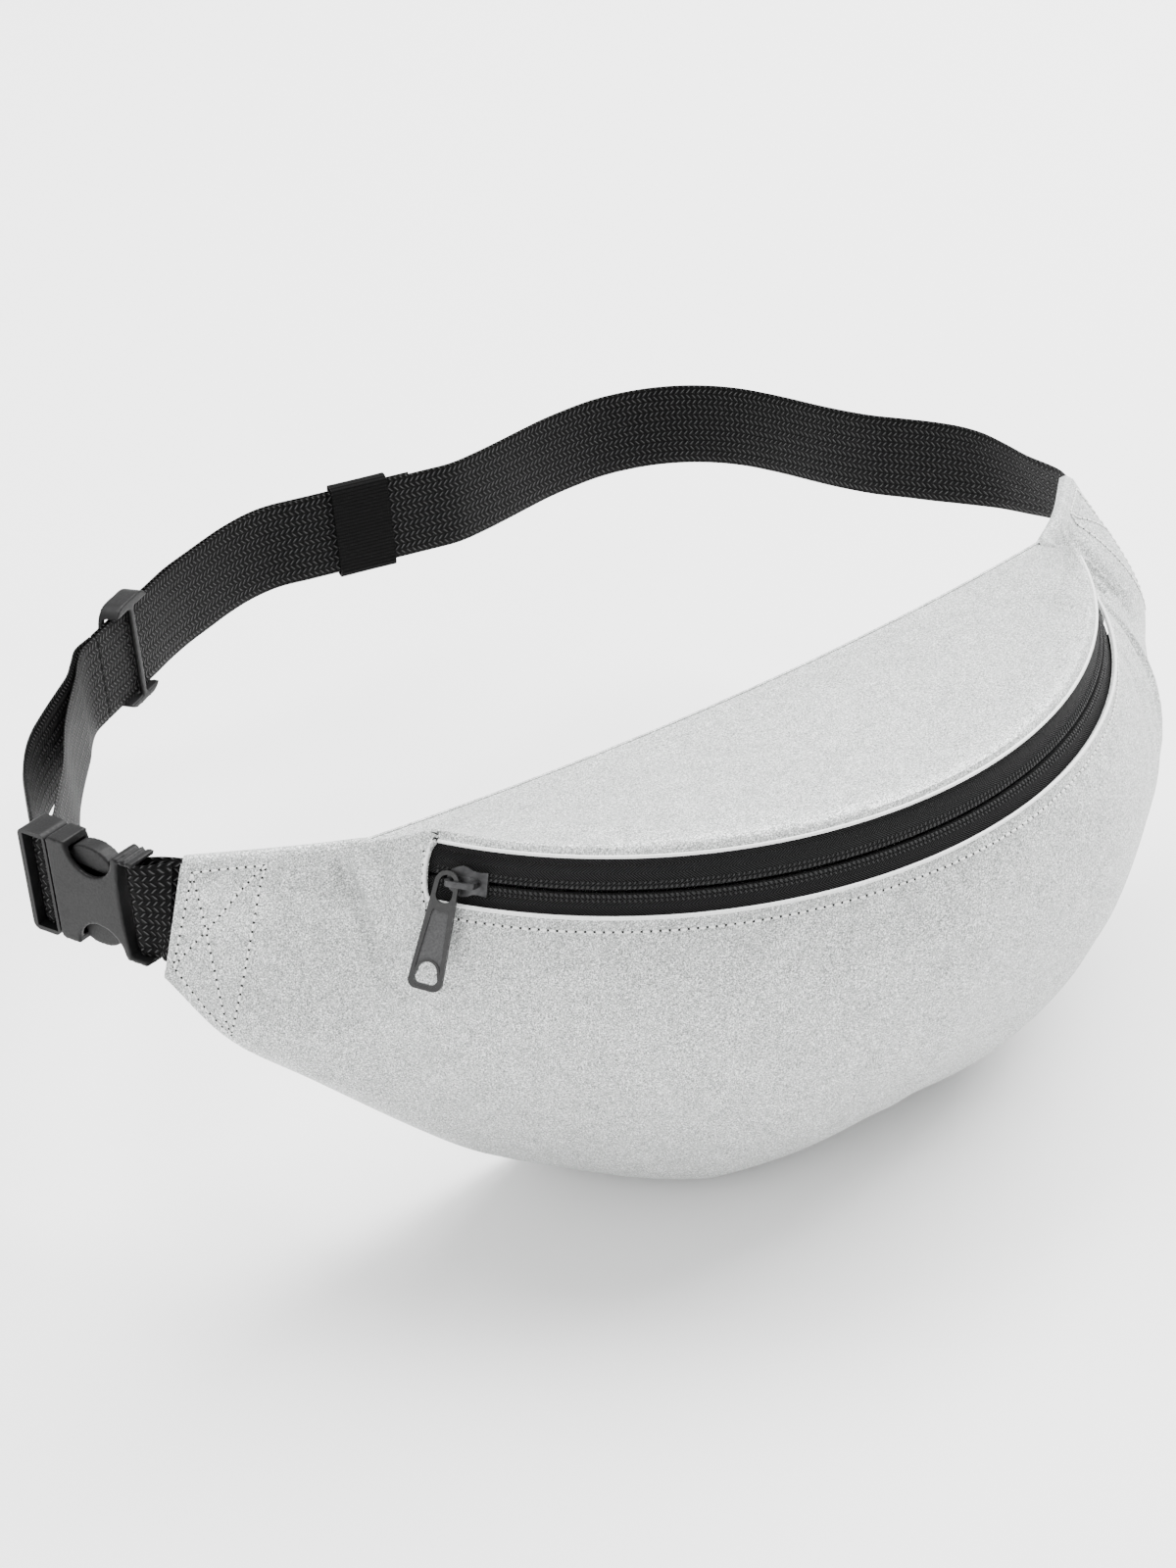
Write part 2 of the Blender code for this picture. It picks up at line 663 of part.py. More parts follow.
def droop(place):
    """The strap hangs a little low on its way to the adjuster."""
    share = max(0.0, min(1.0, (-30.0 - place[0]) / 40.0))
    return ADJUSTER_DROOP * share * share * (3.0 - 2.0 * share)


def tail_places():
    """The doubled end of the strap, outside the main strap from the adjuster past the keeper."""
    main = [np.array(place) for place in main_places()]
    flat = smooth_path(main, 6.0)
    start = np.array(on_line(ADJUSTER_AT, ADJUSTER_HEADING, 21.0))
    end = np.array(on_line(KEEPER_AT, KEEPER_HEADING, -16.0))
    first = min(range(len(flat)), key=lambda i: np.linalg.norm(flat[i] - end))
    last = min(range(len(flat)), key=lambda i: np.linalg.norm(flat[i] - start))
    flat = np.array(flat[first:last + 1])
    tangents = np.gradient(flat, axis=0)
    across = np.stack([tangents[:, 1], -tangents[:, 0]], axis=1)
    across /= np.linalg.norm(across, axis=1, keepdims=True)
    outward = np.sign((across * (flat - (0.0, 60.0))).sum(axis=1, keepdims=True))
    return flat + across * outward * LAYER


def build_strap_tail():
    places = tail_places()
    path = [belt_point(place, droop(place)) for place in places]
    return ribbon("strap_tail", path, [BELT_UP] * len(path), WEB_WIDTH, WEB, black_webbing())


def belt_frame(centre, heading):
    """x along the heading, y outward from the belt's loop and z up, in the belt plane."""
    forward = heading[0] * np.array([1.0, 0.0, 0.0]) + heading[1] * BELT_BACK
    outward = np.cross(forward, BELT_UP)
    if np.dot(outward, belt_point(centre) - belt_point((0.0, 60.0))) < 0.0:
        outward = -outward
    return Frame(belt_point(centre), forward, outward, BELT_UP)


def buckle_frame():
    return belt_frame(BUCKLE_CENTRE, BUCKLE_AXIS)


def buckle_place(x, y):
    """A belt-plane place from the buckle's own length and thickness axes."""
    frame = buckle_frame()
    offset = frame.point(x, y, 0.0) - BELT_ORIGIN
    return (offset[0], float(np.dot(offset, BELT_BACK)))


def loop_rise(place):
    """The loop starts at the adjuster's height and ends level with the buckle."""
    share = max(0.0, min(1.0, (place[1] - 60.0) / 70.0))
    return ADJUSTER_DROOP * share


def build_strap_loop():
    """The strap from the adjuster to the tongue's bar, round it and back."""
    bar_x, bend = -17.0, WEB / 2 + 1.75
    inner = [on_line(ADJUSTER_AT, ADJUSTER_HEADING, 20.6), on_line(ADJUSTER_AT, ADJUSTER_HEADING, 26.0),
             (-139.0, 119.0), (-157.0, 94.0), (-171.0, 71.0), (-183.0, 54.0)]
    outer = [(-188.5, 62.0), (-180.0, 79.0), (-169.0, 95.0), (-153.0, 111.0), (-139.0, 124.0),
             on_line(ADJUSTER_AT, ADJUSTER_HEADING, 26.0, LAYER + 0.6),
             on_line(ADJUSTER_AT, ADJUSTER_HEADING, 20.9, LAYER)]
    slack_out = [buckle_place(-19.4, bend - 0.3), buckle_place(-21.8, bend - 1.9)]
    turn = []
    for i in range(9):
        a = -math.pi / 2 + math.pi * i / 8
        turn.append(buckle_place(bar_x + bend * math.cos(a), bend * math.sin(a)))
    path = smooth_path(inner + turn[:1], 9.0) + turn[1:] + slack_out[:1]
    path += smooth_path(slack_out[1:] + outer, 9.0)
    points = [belt_point(place, loop_rise(place)) for place in path]
    return ribbon("strap_loop", points, [BELT_UP] * len(points), WEB_WIDTH, WEB, black_webbing())


def build_buckle_webbing():
    """The short webbing from inside the left wing, round the socket's bar and back."""
    tip, tip_up = wing_web(-1.0, 2.0)
    inside, inside_up = wing_web(-1.0, 1.9)
    bar_x, bend = 18.6, WEB / 2 + 1.75
    path = [inside, (inside + tip) / 2, tip]
    ups = [inside_up, unit(inside_up + tip_up), tip_up]
    for i in range(9):
        a = -math.pi / 2 - math.pi * i / 8
        path.append(belt_point(buckle_place(bar_x + bend * math.cos(a), bend * math.sin(a))))
        ups.append(BELT_UP)
    outward = np.array(WING_NORMAL) * (-1.0, 1.0, 1.0)
    end = tip + outward * (SANDWICH + FABRIC) / 2
    last = path[-1]
    path.append(last + (end - last) * 0.4)
    path.append(end + 0.8 * unit(last - end))
    ups += [BELT_UP, unit(tip_up + BELT_UP)]
    return ribbon("buckle_webbing", path, ups, WEB_WIDTH, WEB, black_webbing())


# ---------------------------------------------------------------- buckle, adjuster, keeper


def build_buckle_socket():
    """The female half: a hollow block with a release window on each edge and a web bar."""
    frame = buckle_frame()
    half_y, half_z = BUCKLE_THICK / 2, BUCKLE_HEIGHT / 2
    low_x, high_x = -12.2, 21.2
    outline = [(low_x, -half_z), (high_x, -half_z), (high_x, half_z), (low_x, half_z)]
    body = plate("buckle_socket", frame, outline, -half_y, half_y, black_plastic())
    cavity = box("cavity", frame, (low_x - 1, -3.4, -14.6), (12.4, 3.4, 14.6), black_plastic())
    windows = [
        plate(
            "window",
            frame,
            disc(9.3, (4.4, sign * (half_z + 0.4)), 28),
            -half_y - 1,
            half_y + 1,
            black_plastic(),
        )
        for sign in (1, -1)
    ]
    low_corner, high_corner = (14.6, -half_y - 1, -15.5), (high_x + 1, half_y + 1, 15.5)
    web_room = box("web_room", frame, low_corner, high_corner, black_plastic())
    cut(body, cavity, *windows, web_room)
    bar = box("bar", frame, (17.6, -1.0, -16.2), (19.6, 1.0, 16.2), black_plastic())
    return join(body, bar)


def build_buckle_tongue():
    """The male half's frame: an end bar, a web bar, a shoulder and the middle guide."""
    frame = buckle_frame()
    half_y, half_z = BUCKLE_THICK / 2, BUCKLE_HEIGHT / 2
    outline = rounded(11.0, BUCKLE_HEIGHT, 2.0, 3, (-18.0, 0.0))
    body = plate("buckle_tongue", frame, outline, -half_y, half_y, black_plastic())
    window = box("window", frame, (-21.6, -half_y - 1, -15.5), (-13.6, half_y + 1, 15.5), black_plastic())
    under_end = box("under_end", frame, (-25.0, -half_y - 2, -15.4), (-21.0, 1.6, 15.4), black_plastic())
    cut(body, window, under_end)
    bar = box("bar", frame, (-18.0, -1.0, -16.2), (-16.0, 1.0, 16.2), black_plastic())
    neck = box("neck", frame, (-13.1, -3.0, -14.2), (-9.6, 3.0, 14.2), black_plastic())
    wedge = [(-10.5, -3.0), (8.0, -2.0), (8.0, 2.0), (-10.5, 3.0)]
    guide = plate("guide", frame, wedge, -2.4, 2.4, black_plastic())
    return join(body, bar, neck, guide)


def build_buckle_prongs():
    """The two spring arms, each with a rounded head that snaps into its window."""
    frame = buckle_frame()
    for name, sign in (("buckle_prong_upper", 1.0), ("buckle_prong_lower", -1.0)):
        arm = [(-9.3, 8.6), (-2.6, 9.6), (9.0, 8.6), (11.0, 9.6), (11.6, 11.2), (10.0, 13.6),
               (7.0, 15.6), (3.0, 16.4), (-0.5, 16.2), (-3.2, 15.4), (-4.0, 14.2), (-3.6, 12.2), (-9.3, 11.4)]
        outline = [(x, sign * z) for x, z in arm]
        hinge = frame.point(-9.3, 0.0, sign * 9.8)
        plate(name, frame, outline, -2.6, 2.6, black_plastic(), hinge)


def build_strap_adjuster():
    """A bowed three-bar slide: two side bars outside the strap and a centre bar inside."""
    frame = belt_frame(ADJUSTER_AT, ADJUSTER_HEADING)
    frame.origin = frame.origin + ADJUSTER_DROOP * BELT_UP
    outline = rounded(ADJUSTER_LENGTH, ADJUSTER_HEIGHT, 6.0, 5, (0.0, ADJUSTER_RISE / 2))
    middle = LAYER / 2
    body = plate("strap_adjuster", frame, outline, middle - 3.6, middle + 3.6, black_plastic())
    opening = rounded(18.0, 31.2, 1.5, 2)
    window = plate("window", frame, opening, middle - 5.0, middle + 5.0, black_plastic())
    inner_ends = [
        box("inner_end", frame, (x, middle - 5.0, -15.6), (x + 6.0, middle + 1.75, 15.6), black_plastic())
        for x in (-14.0, 8.0)
    ]
    cut(body, window, *inner_ends)
    bar = box("bar", frame, (-1.3, middle - 3.5, -16.5), (1.3, middle - 1.85, 16.5), black_plastic())
    return join(body, bar)


def build_strap_keeper():
    """An elastic band round both layers of the strap."""
    frame = belt_frame(KEEPER_AT, KEEPER_HEADING)
    middle = LAYER / 2
    half = KEEPER_LENGTH / 2
    outside = (-half, middle - 2.9, -17.0), (half, middle + 2.9, 17.0)
    inside = (-half - 1, middle - 1.8, -15.7), (half + 1, middle + 1.8, 15.7)
    band = box("strap_keeper", frame, *outside, black_webbing())
    hollow = box("hollow", frame, *inside, black_webbing())
    return cut(band, hollow)


def main():
    clear_scene()
    build_front_panel()
    build_top_panel()
    build_back_panel()
    build_seam_bindings()
    build_zip_tapes()
    build_zip_coils()
    build_slider()
    build_pull()
    build_buckle_webbing()
    build_buckle_socket()
    build_buckle_tongue()
    build_buckle_prongs()
    build_waist_strap()
    build_strap_loop()
    build_strap_tail()
    build_strap_adjuster()
    build_strap_keeper()


main()
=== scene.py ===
"""Looks of a waist pack: reflective cloth, curved zip, webbing belt, buckle, adjuster and keeper.

Lengths are millimetres, and put_piece scales them to metres. The geometry functions are
the same as those of the part, so that each piece lies where its CAD solid is.
"""

import math

import bmesh
import bpy
import numpy as np
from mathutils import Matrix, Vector
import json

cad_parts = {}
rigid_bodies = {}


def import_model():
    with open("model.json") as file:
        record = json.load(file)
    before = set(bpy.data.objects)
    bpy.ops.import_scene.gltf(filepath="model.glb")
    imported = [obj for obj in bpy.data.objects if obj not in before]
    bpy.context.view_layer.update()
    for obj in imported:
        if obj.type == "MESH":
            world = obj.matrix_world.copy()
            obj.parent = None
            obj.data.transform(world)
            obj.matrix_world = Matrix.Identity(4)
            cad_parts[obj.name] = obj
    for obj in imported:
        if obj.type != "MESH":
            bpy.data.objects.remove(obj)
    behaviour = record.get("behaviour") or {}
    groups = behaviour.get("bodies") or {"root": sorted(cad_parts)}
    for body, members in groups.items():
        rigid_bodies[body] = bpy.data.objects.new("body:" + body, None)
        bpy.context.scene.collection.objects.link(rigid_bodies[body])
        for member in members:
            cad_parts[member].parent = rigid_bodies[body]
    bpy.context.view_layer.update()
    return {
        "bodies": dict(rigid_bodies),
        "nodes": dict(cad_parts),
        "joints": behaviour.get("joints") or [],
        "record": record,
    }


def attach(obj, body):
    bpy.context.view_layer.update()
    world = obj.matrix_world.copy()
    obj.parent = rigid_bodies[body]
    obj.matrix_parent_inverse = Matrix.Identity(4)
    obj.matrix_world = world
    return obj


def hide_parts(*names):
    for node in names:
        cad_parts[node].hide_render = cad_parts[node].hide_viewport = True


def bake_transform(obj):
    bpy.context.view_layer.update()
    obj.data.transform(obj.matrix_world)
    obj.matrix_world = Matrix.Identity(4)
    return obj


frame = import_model()
random = np.random.default_rng(7)

MM = 0.001
GAP = 0.3  # clearance between pieces that touch

# Fabric shell
FABRIC = 0.8
BACK_EDGE_X = 130.0  # half length of the back edge of the top panel
BACK_EDGE_Y = 30.0
BACK_EDGE_Z = 137.0
BACK_EDGE_BOW = 8.0  # the middle of that edge lies this far forward of its ends
WING_TIP = (175.0, 60.0, 131.0)
WING_NORMAL = (0.75, -0.66, 0.0)  # outward, in plan
SANDWICH = 2.8  # room for the webbing between the two skins of a wing

# Zip: a flat circular arc, tipped up at the front
# The centre, tilt, radius and right end were worked out by a least-squares fit of the camera
# and the zip to the photo, and rounded.
ZIP_CENTRE = np.array([0.0, 72.6, 132.1])
ZIP_TILT = math.radians(4.13)
ZIP_RADIUS = 142.5
ZIP_END = {1: math.radians(60.8), -1: math.radians(61.7)}  # ends of the opening
ZIP_BULGE = math.radians(0.95)  # the opening has round ends
TAPE_LEAN = math.radians(21.0)  # from the arc's axis
TAPE_HALF_THICK = 0.35
TAPE_UP = 10.9
TAPE_END_UP = 7.0  # the upper tape is trimmed down at its ends
TAPE_DOWN = 9.4
CHAIN_HALF_GAP = 0.6
COIL_THICK = 1.3
OPENING_UP = 10.2
OPENING_DOWN = 6.8
SEAM_ALLOWANCE = 3.5  # how far each panel lies along the tape
ZIP_TURN = 1.06  # step at which the front panel has turned up round the end of the zip
SEAM_FAN = math.radians(3.2)  # the panel spreads by this much round the end of the zip
PANEL_OVER_TAPE = 1.8  # outer face of the panels above the middle of the tape

# Slider and pull tab
SLIDER_ANGLE = math.radians(-57.5)
PULL_LIFT = math.radians(12.0)
PULL_LENGTH = 34.0
PULL_TOP_WIDTH = 7.2
PULL_WIDTH = 10.2
PULL_THICK = 1.3
BRIDGE_HEIGHT = 4.4
BRIDGE_SHIFT = -1.0
PULL_TWIST = math.radians(4.5)  # the tab hangs a little off square to the track

# Webbing and the plane that the belt lies in
WEB_WIDTH = 30.0
WEB = 1.3
BELT_TILT = math.radians(8.0)
BELT_ORIGIN = np.array([0.0, 60.0, 119.0])
BELT_UP = np.array([0.0, math.sin(BELT_TILT), math.cos(BELT_TILT)])
BELT_BACK = np.array([0.0, math.cos(BELT_TILT), -math.sin(BELT_TILT)])
LAYER = WEB + GAP

# Buckle: length axis runs from the tongue to the socket
BUCKLE_CENTRE = (-190.8, 22.6)
BUCKLE_AXIS = (0.267, -0.9637)
BUCKLE_HEIGHT = 34.0
BUCKLE_THICK = 10.0

# Strap adjuster and keeper: centre and heading in the belt plane
ADJUSTER_AT = (-101.0, 152.0)
ADJUSTER_HEADING = (-0.86, -0.5103)
ADJUSTER_LENGTH = 23.0
ADJUSTER_HEIGHT = 37.0
ADJUSTER_DROOP = -1.8
ADJUSTER_RISE = 1.0  # middle of the adjuster above the middle of the strap
KEEPER_AT = (4.0, 171.0)
KEEPER_HEADING = (-0.9642, 0.2652)
KEEPER_LENGTH = 20.0

# Shape of the front panel, one row of points per rail, in steps along the pack.
# Steps 0 to 1 follow the zip from its middle to its end, and 1 to 2 follow the wing.
# The rows began as a least-squares fit to the outline in the photo, and were then moved.
RAIL_STEPS = (0.0, 0.5, 1.0, 1.2, 1.45, 1.7, 2.0)
RIGHT_RAILS = {
    "upper": ((0, -100, 85), (88, -81, 84), (165, -22, 84), (177, -9, 93), (176, 12, 104),
              (173, 31, 114), (179.7, 56.7, 121.7)),
    "lower": ((0, -53, 0), (63, -53, 0), (141, -16, 38), (159, -4, 49), (177, 11, 70),
              (184, 25, 92), (184.3, 53.3, 112.3)),
    "hem": ((0, -10, 0), (44, -12, 0), (101, 5, 17), (128, 14, 30), (162, 23, 56),
            (184, 31, 82), (189, 50, 103)),
    "back": ((0, 22, 0), (46, 23, 0), (93, 25, 14), (120, 28, 28), (154, 34, 56),
             (176, 38, 82), (187, 53, 103)),
}
LEFT_RAILS = {
    "upper": ((0, -100, 85), (85, -77, 84), (146, -9, 88), (155, 7, 98), (164, 19, 106),
              (169, 34, 114), (179.7, 56.7, 121.7)),
    "lower": ((0, -53, 0), (59, -46, 0), (125, -7, 34), (145, 4, 53), (169, 16, 75),
              (180, 27, 92), (184.3, 53.3, 112.3)),
    "hem": ((0, -10, 0), (42, -9, 0), (96, 9, 15), (122, 18, 33), (154, 29, 61),
            (176, 35, 82), (189, 50, 103)),
    "back": ((0, 22, 0), (45, 23, 0), (92, 25, 12), (118, 28, 31), (151, 34, 61),
             (172, 40, 82), (187, 53, 103)),
}


# ---------------------------------------------------------------- geometry shared with the part


def unit(vector):
    vector = np.array(vector, float)
    return vector / np.linalg.norm(vector)


def smooth_at(steps, points, step):
    """A smooth curve through points, read at step (cubic Hermite, tangents from neighbours)."""
    points = np.array(points, float)
    spans = [b - a for a, b in zip(steps, steps[1:])]
    slopes = [(points[i + 1] - points[i]) / spans[i] for i in range(len(spans))]
    tangents = [slopes[0]]
    for i in range(1, len(spans)):
        blend = spans[i - 1] + spans[i]
        tangents.append((slopes[i - 1] * spans[i] + slopes[i] * spans[i - 1]) / blend)
    tangents.append(slopes[-1])
    i = 0
    while i < len(spans) - 1 and step > steps[i + 1]:
        i += 1
    t = (step - steps[i]) / spans[i]
    start = (2 * t**3 - 3 * t**2 + 1) * points[i] + (t**3 - 2 * t**2 + t) * spans[i] * tangents[i]
    end = (3 * t**2 - 2 * t**3) * points[i + 1] + (t**3 - t**2) * spans[i] * tangents[i + 1]
    return start + end


def bezier(a, b, c, d, t):
    return (1 - t) ** 3 * a + 3 * (1 - t) ** 2 * t * b + 3 * (1 - t) * t**2 * c + t**3 * d


def grid_normals(grid):
    across = np.gradient(grid, axis=0)
    down = np.gradient(grid, axis=1)
    normals = np.cross(across, down)
    return normals / np.linalg.norm(normals, axis=2, keepdims=True)


class Frame:
    """A local frame: x along the piece, y across it and z up, in millimetres."""

    def __init__(self, origin, x_axis, y_axis, z_axis):
        self.origin = np.array(origin, float)
        self.axes = np.array([unit(x_axis), unit(y_axis), unit(z_axis)])

    def point(self, x, y, z):
        return self.origin + x * self.axes[0] + y * self.axes[1] + z * self.axes[2]


def rounded(length, height, radius, steps=4, centre=(0.0, 0.0)):
    """A rectangle with round corners, as (x, z) points."""
    points = []
    for k, (sx, sz) in enumerate(((1, 1), (-1, 1), (-1, -1), (1, -1))):
        cx = centre[0] + sx * (length / 2 - radius)
        cz = centre[1] + sz * (height / 2 - radius)
        for i in range(steps + 1):
            a = math.pi / 2 * (k + i / steps)
            points.append((cx + radius * math.cos(a), cz + radius * math.sin(a)))
    return points


def disc(radius, centre, steps=24):
    turns = [2 * math.pi * i / steps for i in range(steps)]
    return [(centre[0] + radius * math.cos(a), centre[1] + radius * math.sin(a)) for a in turns]


def zip_axis():
    return np.array([0.0, math.sin(ZIP_TILT), math.cos(ZIP_TILT)])


def zip_radial(angle):
    flat = -math.cos(angle)
    return np.array([math.sin(angle), flat * math.cos(ZIP_TILT), -flat * math.sin(ZIP_TILT)])


def zip_point(out, up, angle):
    """A point out from the middle of the chain and up along the tape, at an angle round the arc."""
    reach = ZIP_RADIUS + out * math.cos(TAPE_LEAN) - up * math.sin(TAPE_LEAN)
    rise = out * math.sin(TAPE_LEAN) + up * math.cos(TAPE_LEAN)
    return ZIP_CENTRE + reach * zip_radial(angle) + rise * zip_axis()


def slider_frame():
    """x along the track, y out of the tape and z up the tape, at the slider's place."""
    origin = zip_point(0.0, 0.0, SLIDER_ANGLE)
    out = unit(zip_point(1.0, 0.0, SLIDER_ANGLE) - origin)
    up = unit(zip_point(0.0, 1.0, SLIDER_ANGLE) - origin)
    return Frame(origin, np.cross(up, out), out, up)


def pull_frame():
    """x along the hinge axis, y out of the pull's face and z up the pull."""
    slider = slider_frame()
    plate_top = TAPE_HALF_THICK + 0.4 + 1.1
    origin = slider.point(BRIDGE_SHIFT - 3.9, plate_top + 1.9, 1.0)
    across = slider.axes[0] * math.cos(PULL_TWIST) - slider.axes[2] * math.sin(PULL_TWIST)
    flat_up = slider.axes[2] * math.cos(PULL_TWIST) + slider.axes[0] * math.sin(PULL_TWIST)
    out = slider.axes[1] * math.cos(PULL_LIFT) + flat_up * math.sin(PULL_LIFT)
    up = flat_up * math.cos(PULL_LIFT) - slider.axes[1] * math.sin(PULL_LIFT)
    return Frame(origin, across, out, up)


def tapered(top, bottom, high, low, corner, centre, steps=5):
    """An upright outline, wider at its bottom, with a round top and round lower corners."""
    points = []
    for i in range(2 * steps + 1):
        a = math.pi * i / (2 * steps)
        points.append((centre + top / 2 * math.cos(a), high - top / 2 + top / 2 * math.sin(a)))
    for side, first in ((-1, math.pi), (1, 1.5 * math.pi)):
        for i in range(steps + 1):
            a = first + math.pi / 2 * i / steps
            x = centre + side * (bottom / 2 - corner) + corner * math.cos(a)
            points.append((x, low + corner + corner * math.sin(a)))
    return points


def rails_of(side):
    return RIGHT_RAILS if side > 0 else LEFT_RAILS


def front_top(side, step):
    """The top edge of half of the front panel: under the zip, round its end, then the wing."""
    notch = ZIP_TURN
    end = ZIP_END[side]
    if step <= 1.0:
        return zip_point(PANEL_OVER_TAPE, -OPENING_DOWN, step * end)
    if step < notch:
        t = (step - 1.0) / (notch - 1.0)
        rise = (OPENING_UP - OPENING_DOWN) / 2 - (OPENING_UP + OPENING_DOWN) / 2 * math.cos(math.pi * t)
        return zip_point(PANEL_OVER_TAPE, rise, end + ZIP_BULGE * math.sin(math.pi * t))
    corner = zip_point(PANEL_OVER_TAPE, OPENING_UP, end)
    seam_end = (BACK_EDGE_X + 2.0, BACK_EDGE_Y - 4.0, BACK_EDGE_Z + 1.5)
    middle = (152.0, 40.0, 135.5)
    return smooth_at((notch, 1.3, 1.65, 2.0), (corner, seam_end, middle, WING_TIP), step)


def seam_points(side, step, top, upper):
    """Two points that lead from the top edge to the free part of the panel."""
    turned = max(0.0, min(1.0, (step - 1.0) / (ZIP_TURN - 1.0)))
    angle = min(step, 1.0) * ZIP_END[side]
    low = -OPENING_DOWN - SEAM_ALLOWANCE
    rise = low + SEAM_ALLOWANCE + (1.0 - math.cos(math.pi * turned)) / 2 * (OPENING_UP + OPENING_DOWN)
    halfway = zip_point(PANEL_OVER_TAPE, (rise + low) / 2, angle + 0.8 * SEAM_FAN * turned)
    start = zip_point(PANEL_OVER_TAPE, low, angle + SEAM_FAN * turned)
    if step > ZIP_TURN:
        share = (step - ZIP_TURN) / (2.0 - ZIP_TURN)
        corner = front_top(side, ZIP_TURN)
        along = unit(upper - top)
        halfway = top + (halfway - corner) * (1.0 - share) + 2.0 * share * along
        start = top + (start - corner) * (1.0 - share) + 4.0 * share * along
    return halfway, start


def front_section(side, step, rows):
    """One column of the front panel, from its top edge down, under the base and back."""
    rails = rails_of(side)
    top = front_top(1 if side > 0 else -1, step)
    upper, lower, hem, back = (
        smooth_at(RAIL_STEPS, rails[key], step) for key in ("upper", "lower", "hem", "back")
    )
    for point in (lower, hem, back):
        point[2] = max(point[2], 0.0)
    halfway, start = seam_points(1 if side > 0 else -1, step, top, upper)
    column = [top, halfway] + [bezier(start, upper, lower, hem, i / (rows - 3)) for i in range(rows - 2)]
    column.append((hem + back) / 2)
    column.append(back)
    return np.array(column) * (side, 1.0, 1.0)


def back_edge(share):
    """A point on the back edge of the top panel, from -1 at its left end to 1 at its right."""
    bow = BACK_EDGE_BOW * (1.0 - share**2)
    return np.array([BACK_EDGE_X * share, BACK_EDGE_Y - bow, BACK_EDGE_Z])


def back_top(side, step):
    inward = -np.array(WING_NORMAL) * (SANDWICH + 2 * FABRIC)
    if step <= 1.0:
        return back_edge(step) * (side, 1.0, 1.0) + (0.0, FABRIC + GAP, 0.0)
    corner = back_edge(1.0) + (0.0, FABRIC + GAP, 0.0)
    middle = np.array([152.0, 40.0, 135.5]) + inward
    tip = np.array(WING_TIP) + inward
    return smooth_at((1.0, 1.5, 2.0), (corner, middle, tip), step) * (side, 1.0, 1.0)


def back_bottom(side, step):
    foot = smooth_at(RAIL_STEPS, rails_of(side)["back"], step)
    foot[2] = max(foot[2], 0.0) + GAP
    share = max(0.0, step - 1.2) / 0.8
    inward = np.array([-0.75, 0.66, 0.0]) * (FABRIC + 2 * GAP + SANDWICH) * share
    return (foot + inward + (0.0, (FABRIC + GAP) * (1.0 - share), 0.0)) * (side, 1.0, 1.0)


def belt_point(place, rise=0.0):
    """A point of the belt plane: across and back, with a rise along its normal."""
    return BELT_ORIGIN + np.array([place[0], 0.0, 0.0]) + place[1] * BELT_BACK + rise * BELT_UP


def on_line(centre, heading, distance, offset=0.0):
    """A place along a heading, moved outward from the belt's loop by offset."""
    across = (-heading[1], heading[0])
    if across[0] * centre[0] + across[1] * (centre[1] - 60.0) < 0.0:
        across = (heading[1], -heading[0])
    return (centre[0] + heading[0] * distance + across[0] * offset,
            centre[1] + heading[1] * distance + across[1] * offset)


def smooth_path(places, spacing):
    """Evenly read points of a smooth curve through places."""
    places = np.array(places, float)
    lengths = np.concatenate([[0.0], np.cumsum(np.linalg.norm(np.diff(places, axis=0), axis=1))])
    count = max(2, int(lengths[-1] / spacing))
    steps = list(lengths)
    return [smooth_at(steps, places, lengths[-1] * i / count) for i in range(count + 1)]


def wing_web(side, step):
    """Centre and width direction of the webbing held inside a wing."""
    column = front_section(side, step, 14)
    down = unit(column[13] - column[0])
    inward = -np.array(WING_NORMAL) * (side, 1.0, 1.0)
    top = column[0] + inward * (FABRIC + SANDWICH / 2) - down * 0.5
    return top + down * WEB_WIDTH / 2, -down


def main_places():
    """The single strap from the right wing's tip round the back to the adjuster."""
    keeper_marks = (-32.0, -21.0, -10.0, 0.0, 10.0, 21.0, 32.0)
    keeper_run = [on_line(KEEPER_AT, KEEPER_HEADING, at) for at in keeper_marks]
    adjuster_marks = (-28.0, -20.0, -10.0, 0.0, 10.0, 20.0)
    adjuster_run = [on_line(ADJUSTER_AT, ADJUSTER_HEADING, at) for at in adjuster_marks]
    # Read from the strap in the photo by projecting it onto the belt plane, then moved.
    side = [(181.0, 20.0), (178.5, 44.0), (170.0, 65.0), (160.0, 85.0), (154.0, 105.0), (150.0, 123.0),
            (142.5, 143.0), (129.0, 158.5), (110.0, 167.5), (84.0, 168.5), (58.0, 164.5)]
    return side + keeper_run + [(-45.0, 178.0), (-60.0, 173.5)] + adjuster_run


def droop(place):
    """The strap hangs a little low on its way to the adjuster."""
    share = max(0.0, min(1.0, (-30.0 - place[0]) / 40.0))
    return ADJUSTER_DROOP * share * share * (3.0 - 2.0 * share)


def tail_places():
    """The doubled end of the strap, outside the main strap from the adjuster past the keeper."""
    main = [np.array(place) for place in main_places()]
    flat = smooth_path(main, 6.0)
    start = np.array(on_line(ADJUSTER_AT, ADJUSTER_HEADING, 21.0))
    end = np.array(on_line(KEEPER_AT, KEEPER_HEADING, -16.0))
    first = min(range(len(flat)), key=lambda i: np.linalg.norm(flat[i] - end))
    last = min(range(len(flat)), key=lambda i: np.linalg.norm(flat[i] - start))
    flat = np.array(flat[first:last + 1])
    tangents = np.gradient(flat, axis=0)
    across = np.stack([tangents[:, 1], -tangents[:, 0]], axis=1)
    across /= np.linalg.norm(across, axis=1, keepdims=True)
    outward = np.sign((across * (flat - (0.0, 60.0))).sum(axis=1, keepdims=True))
    return flat + across * outward * LAYER


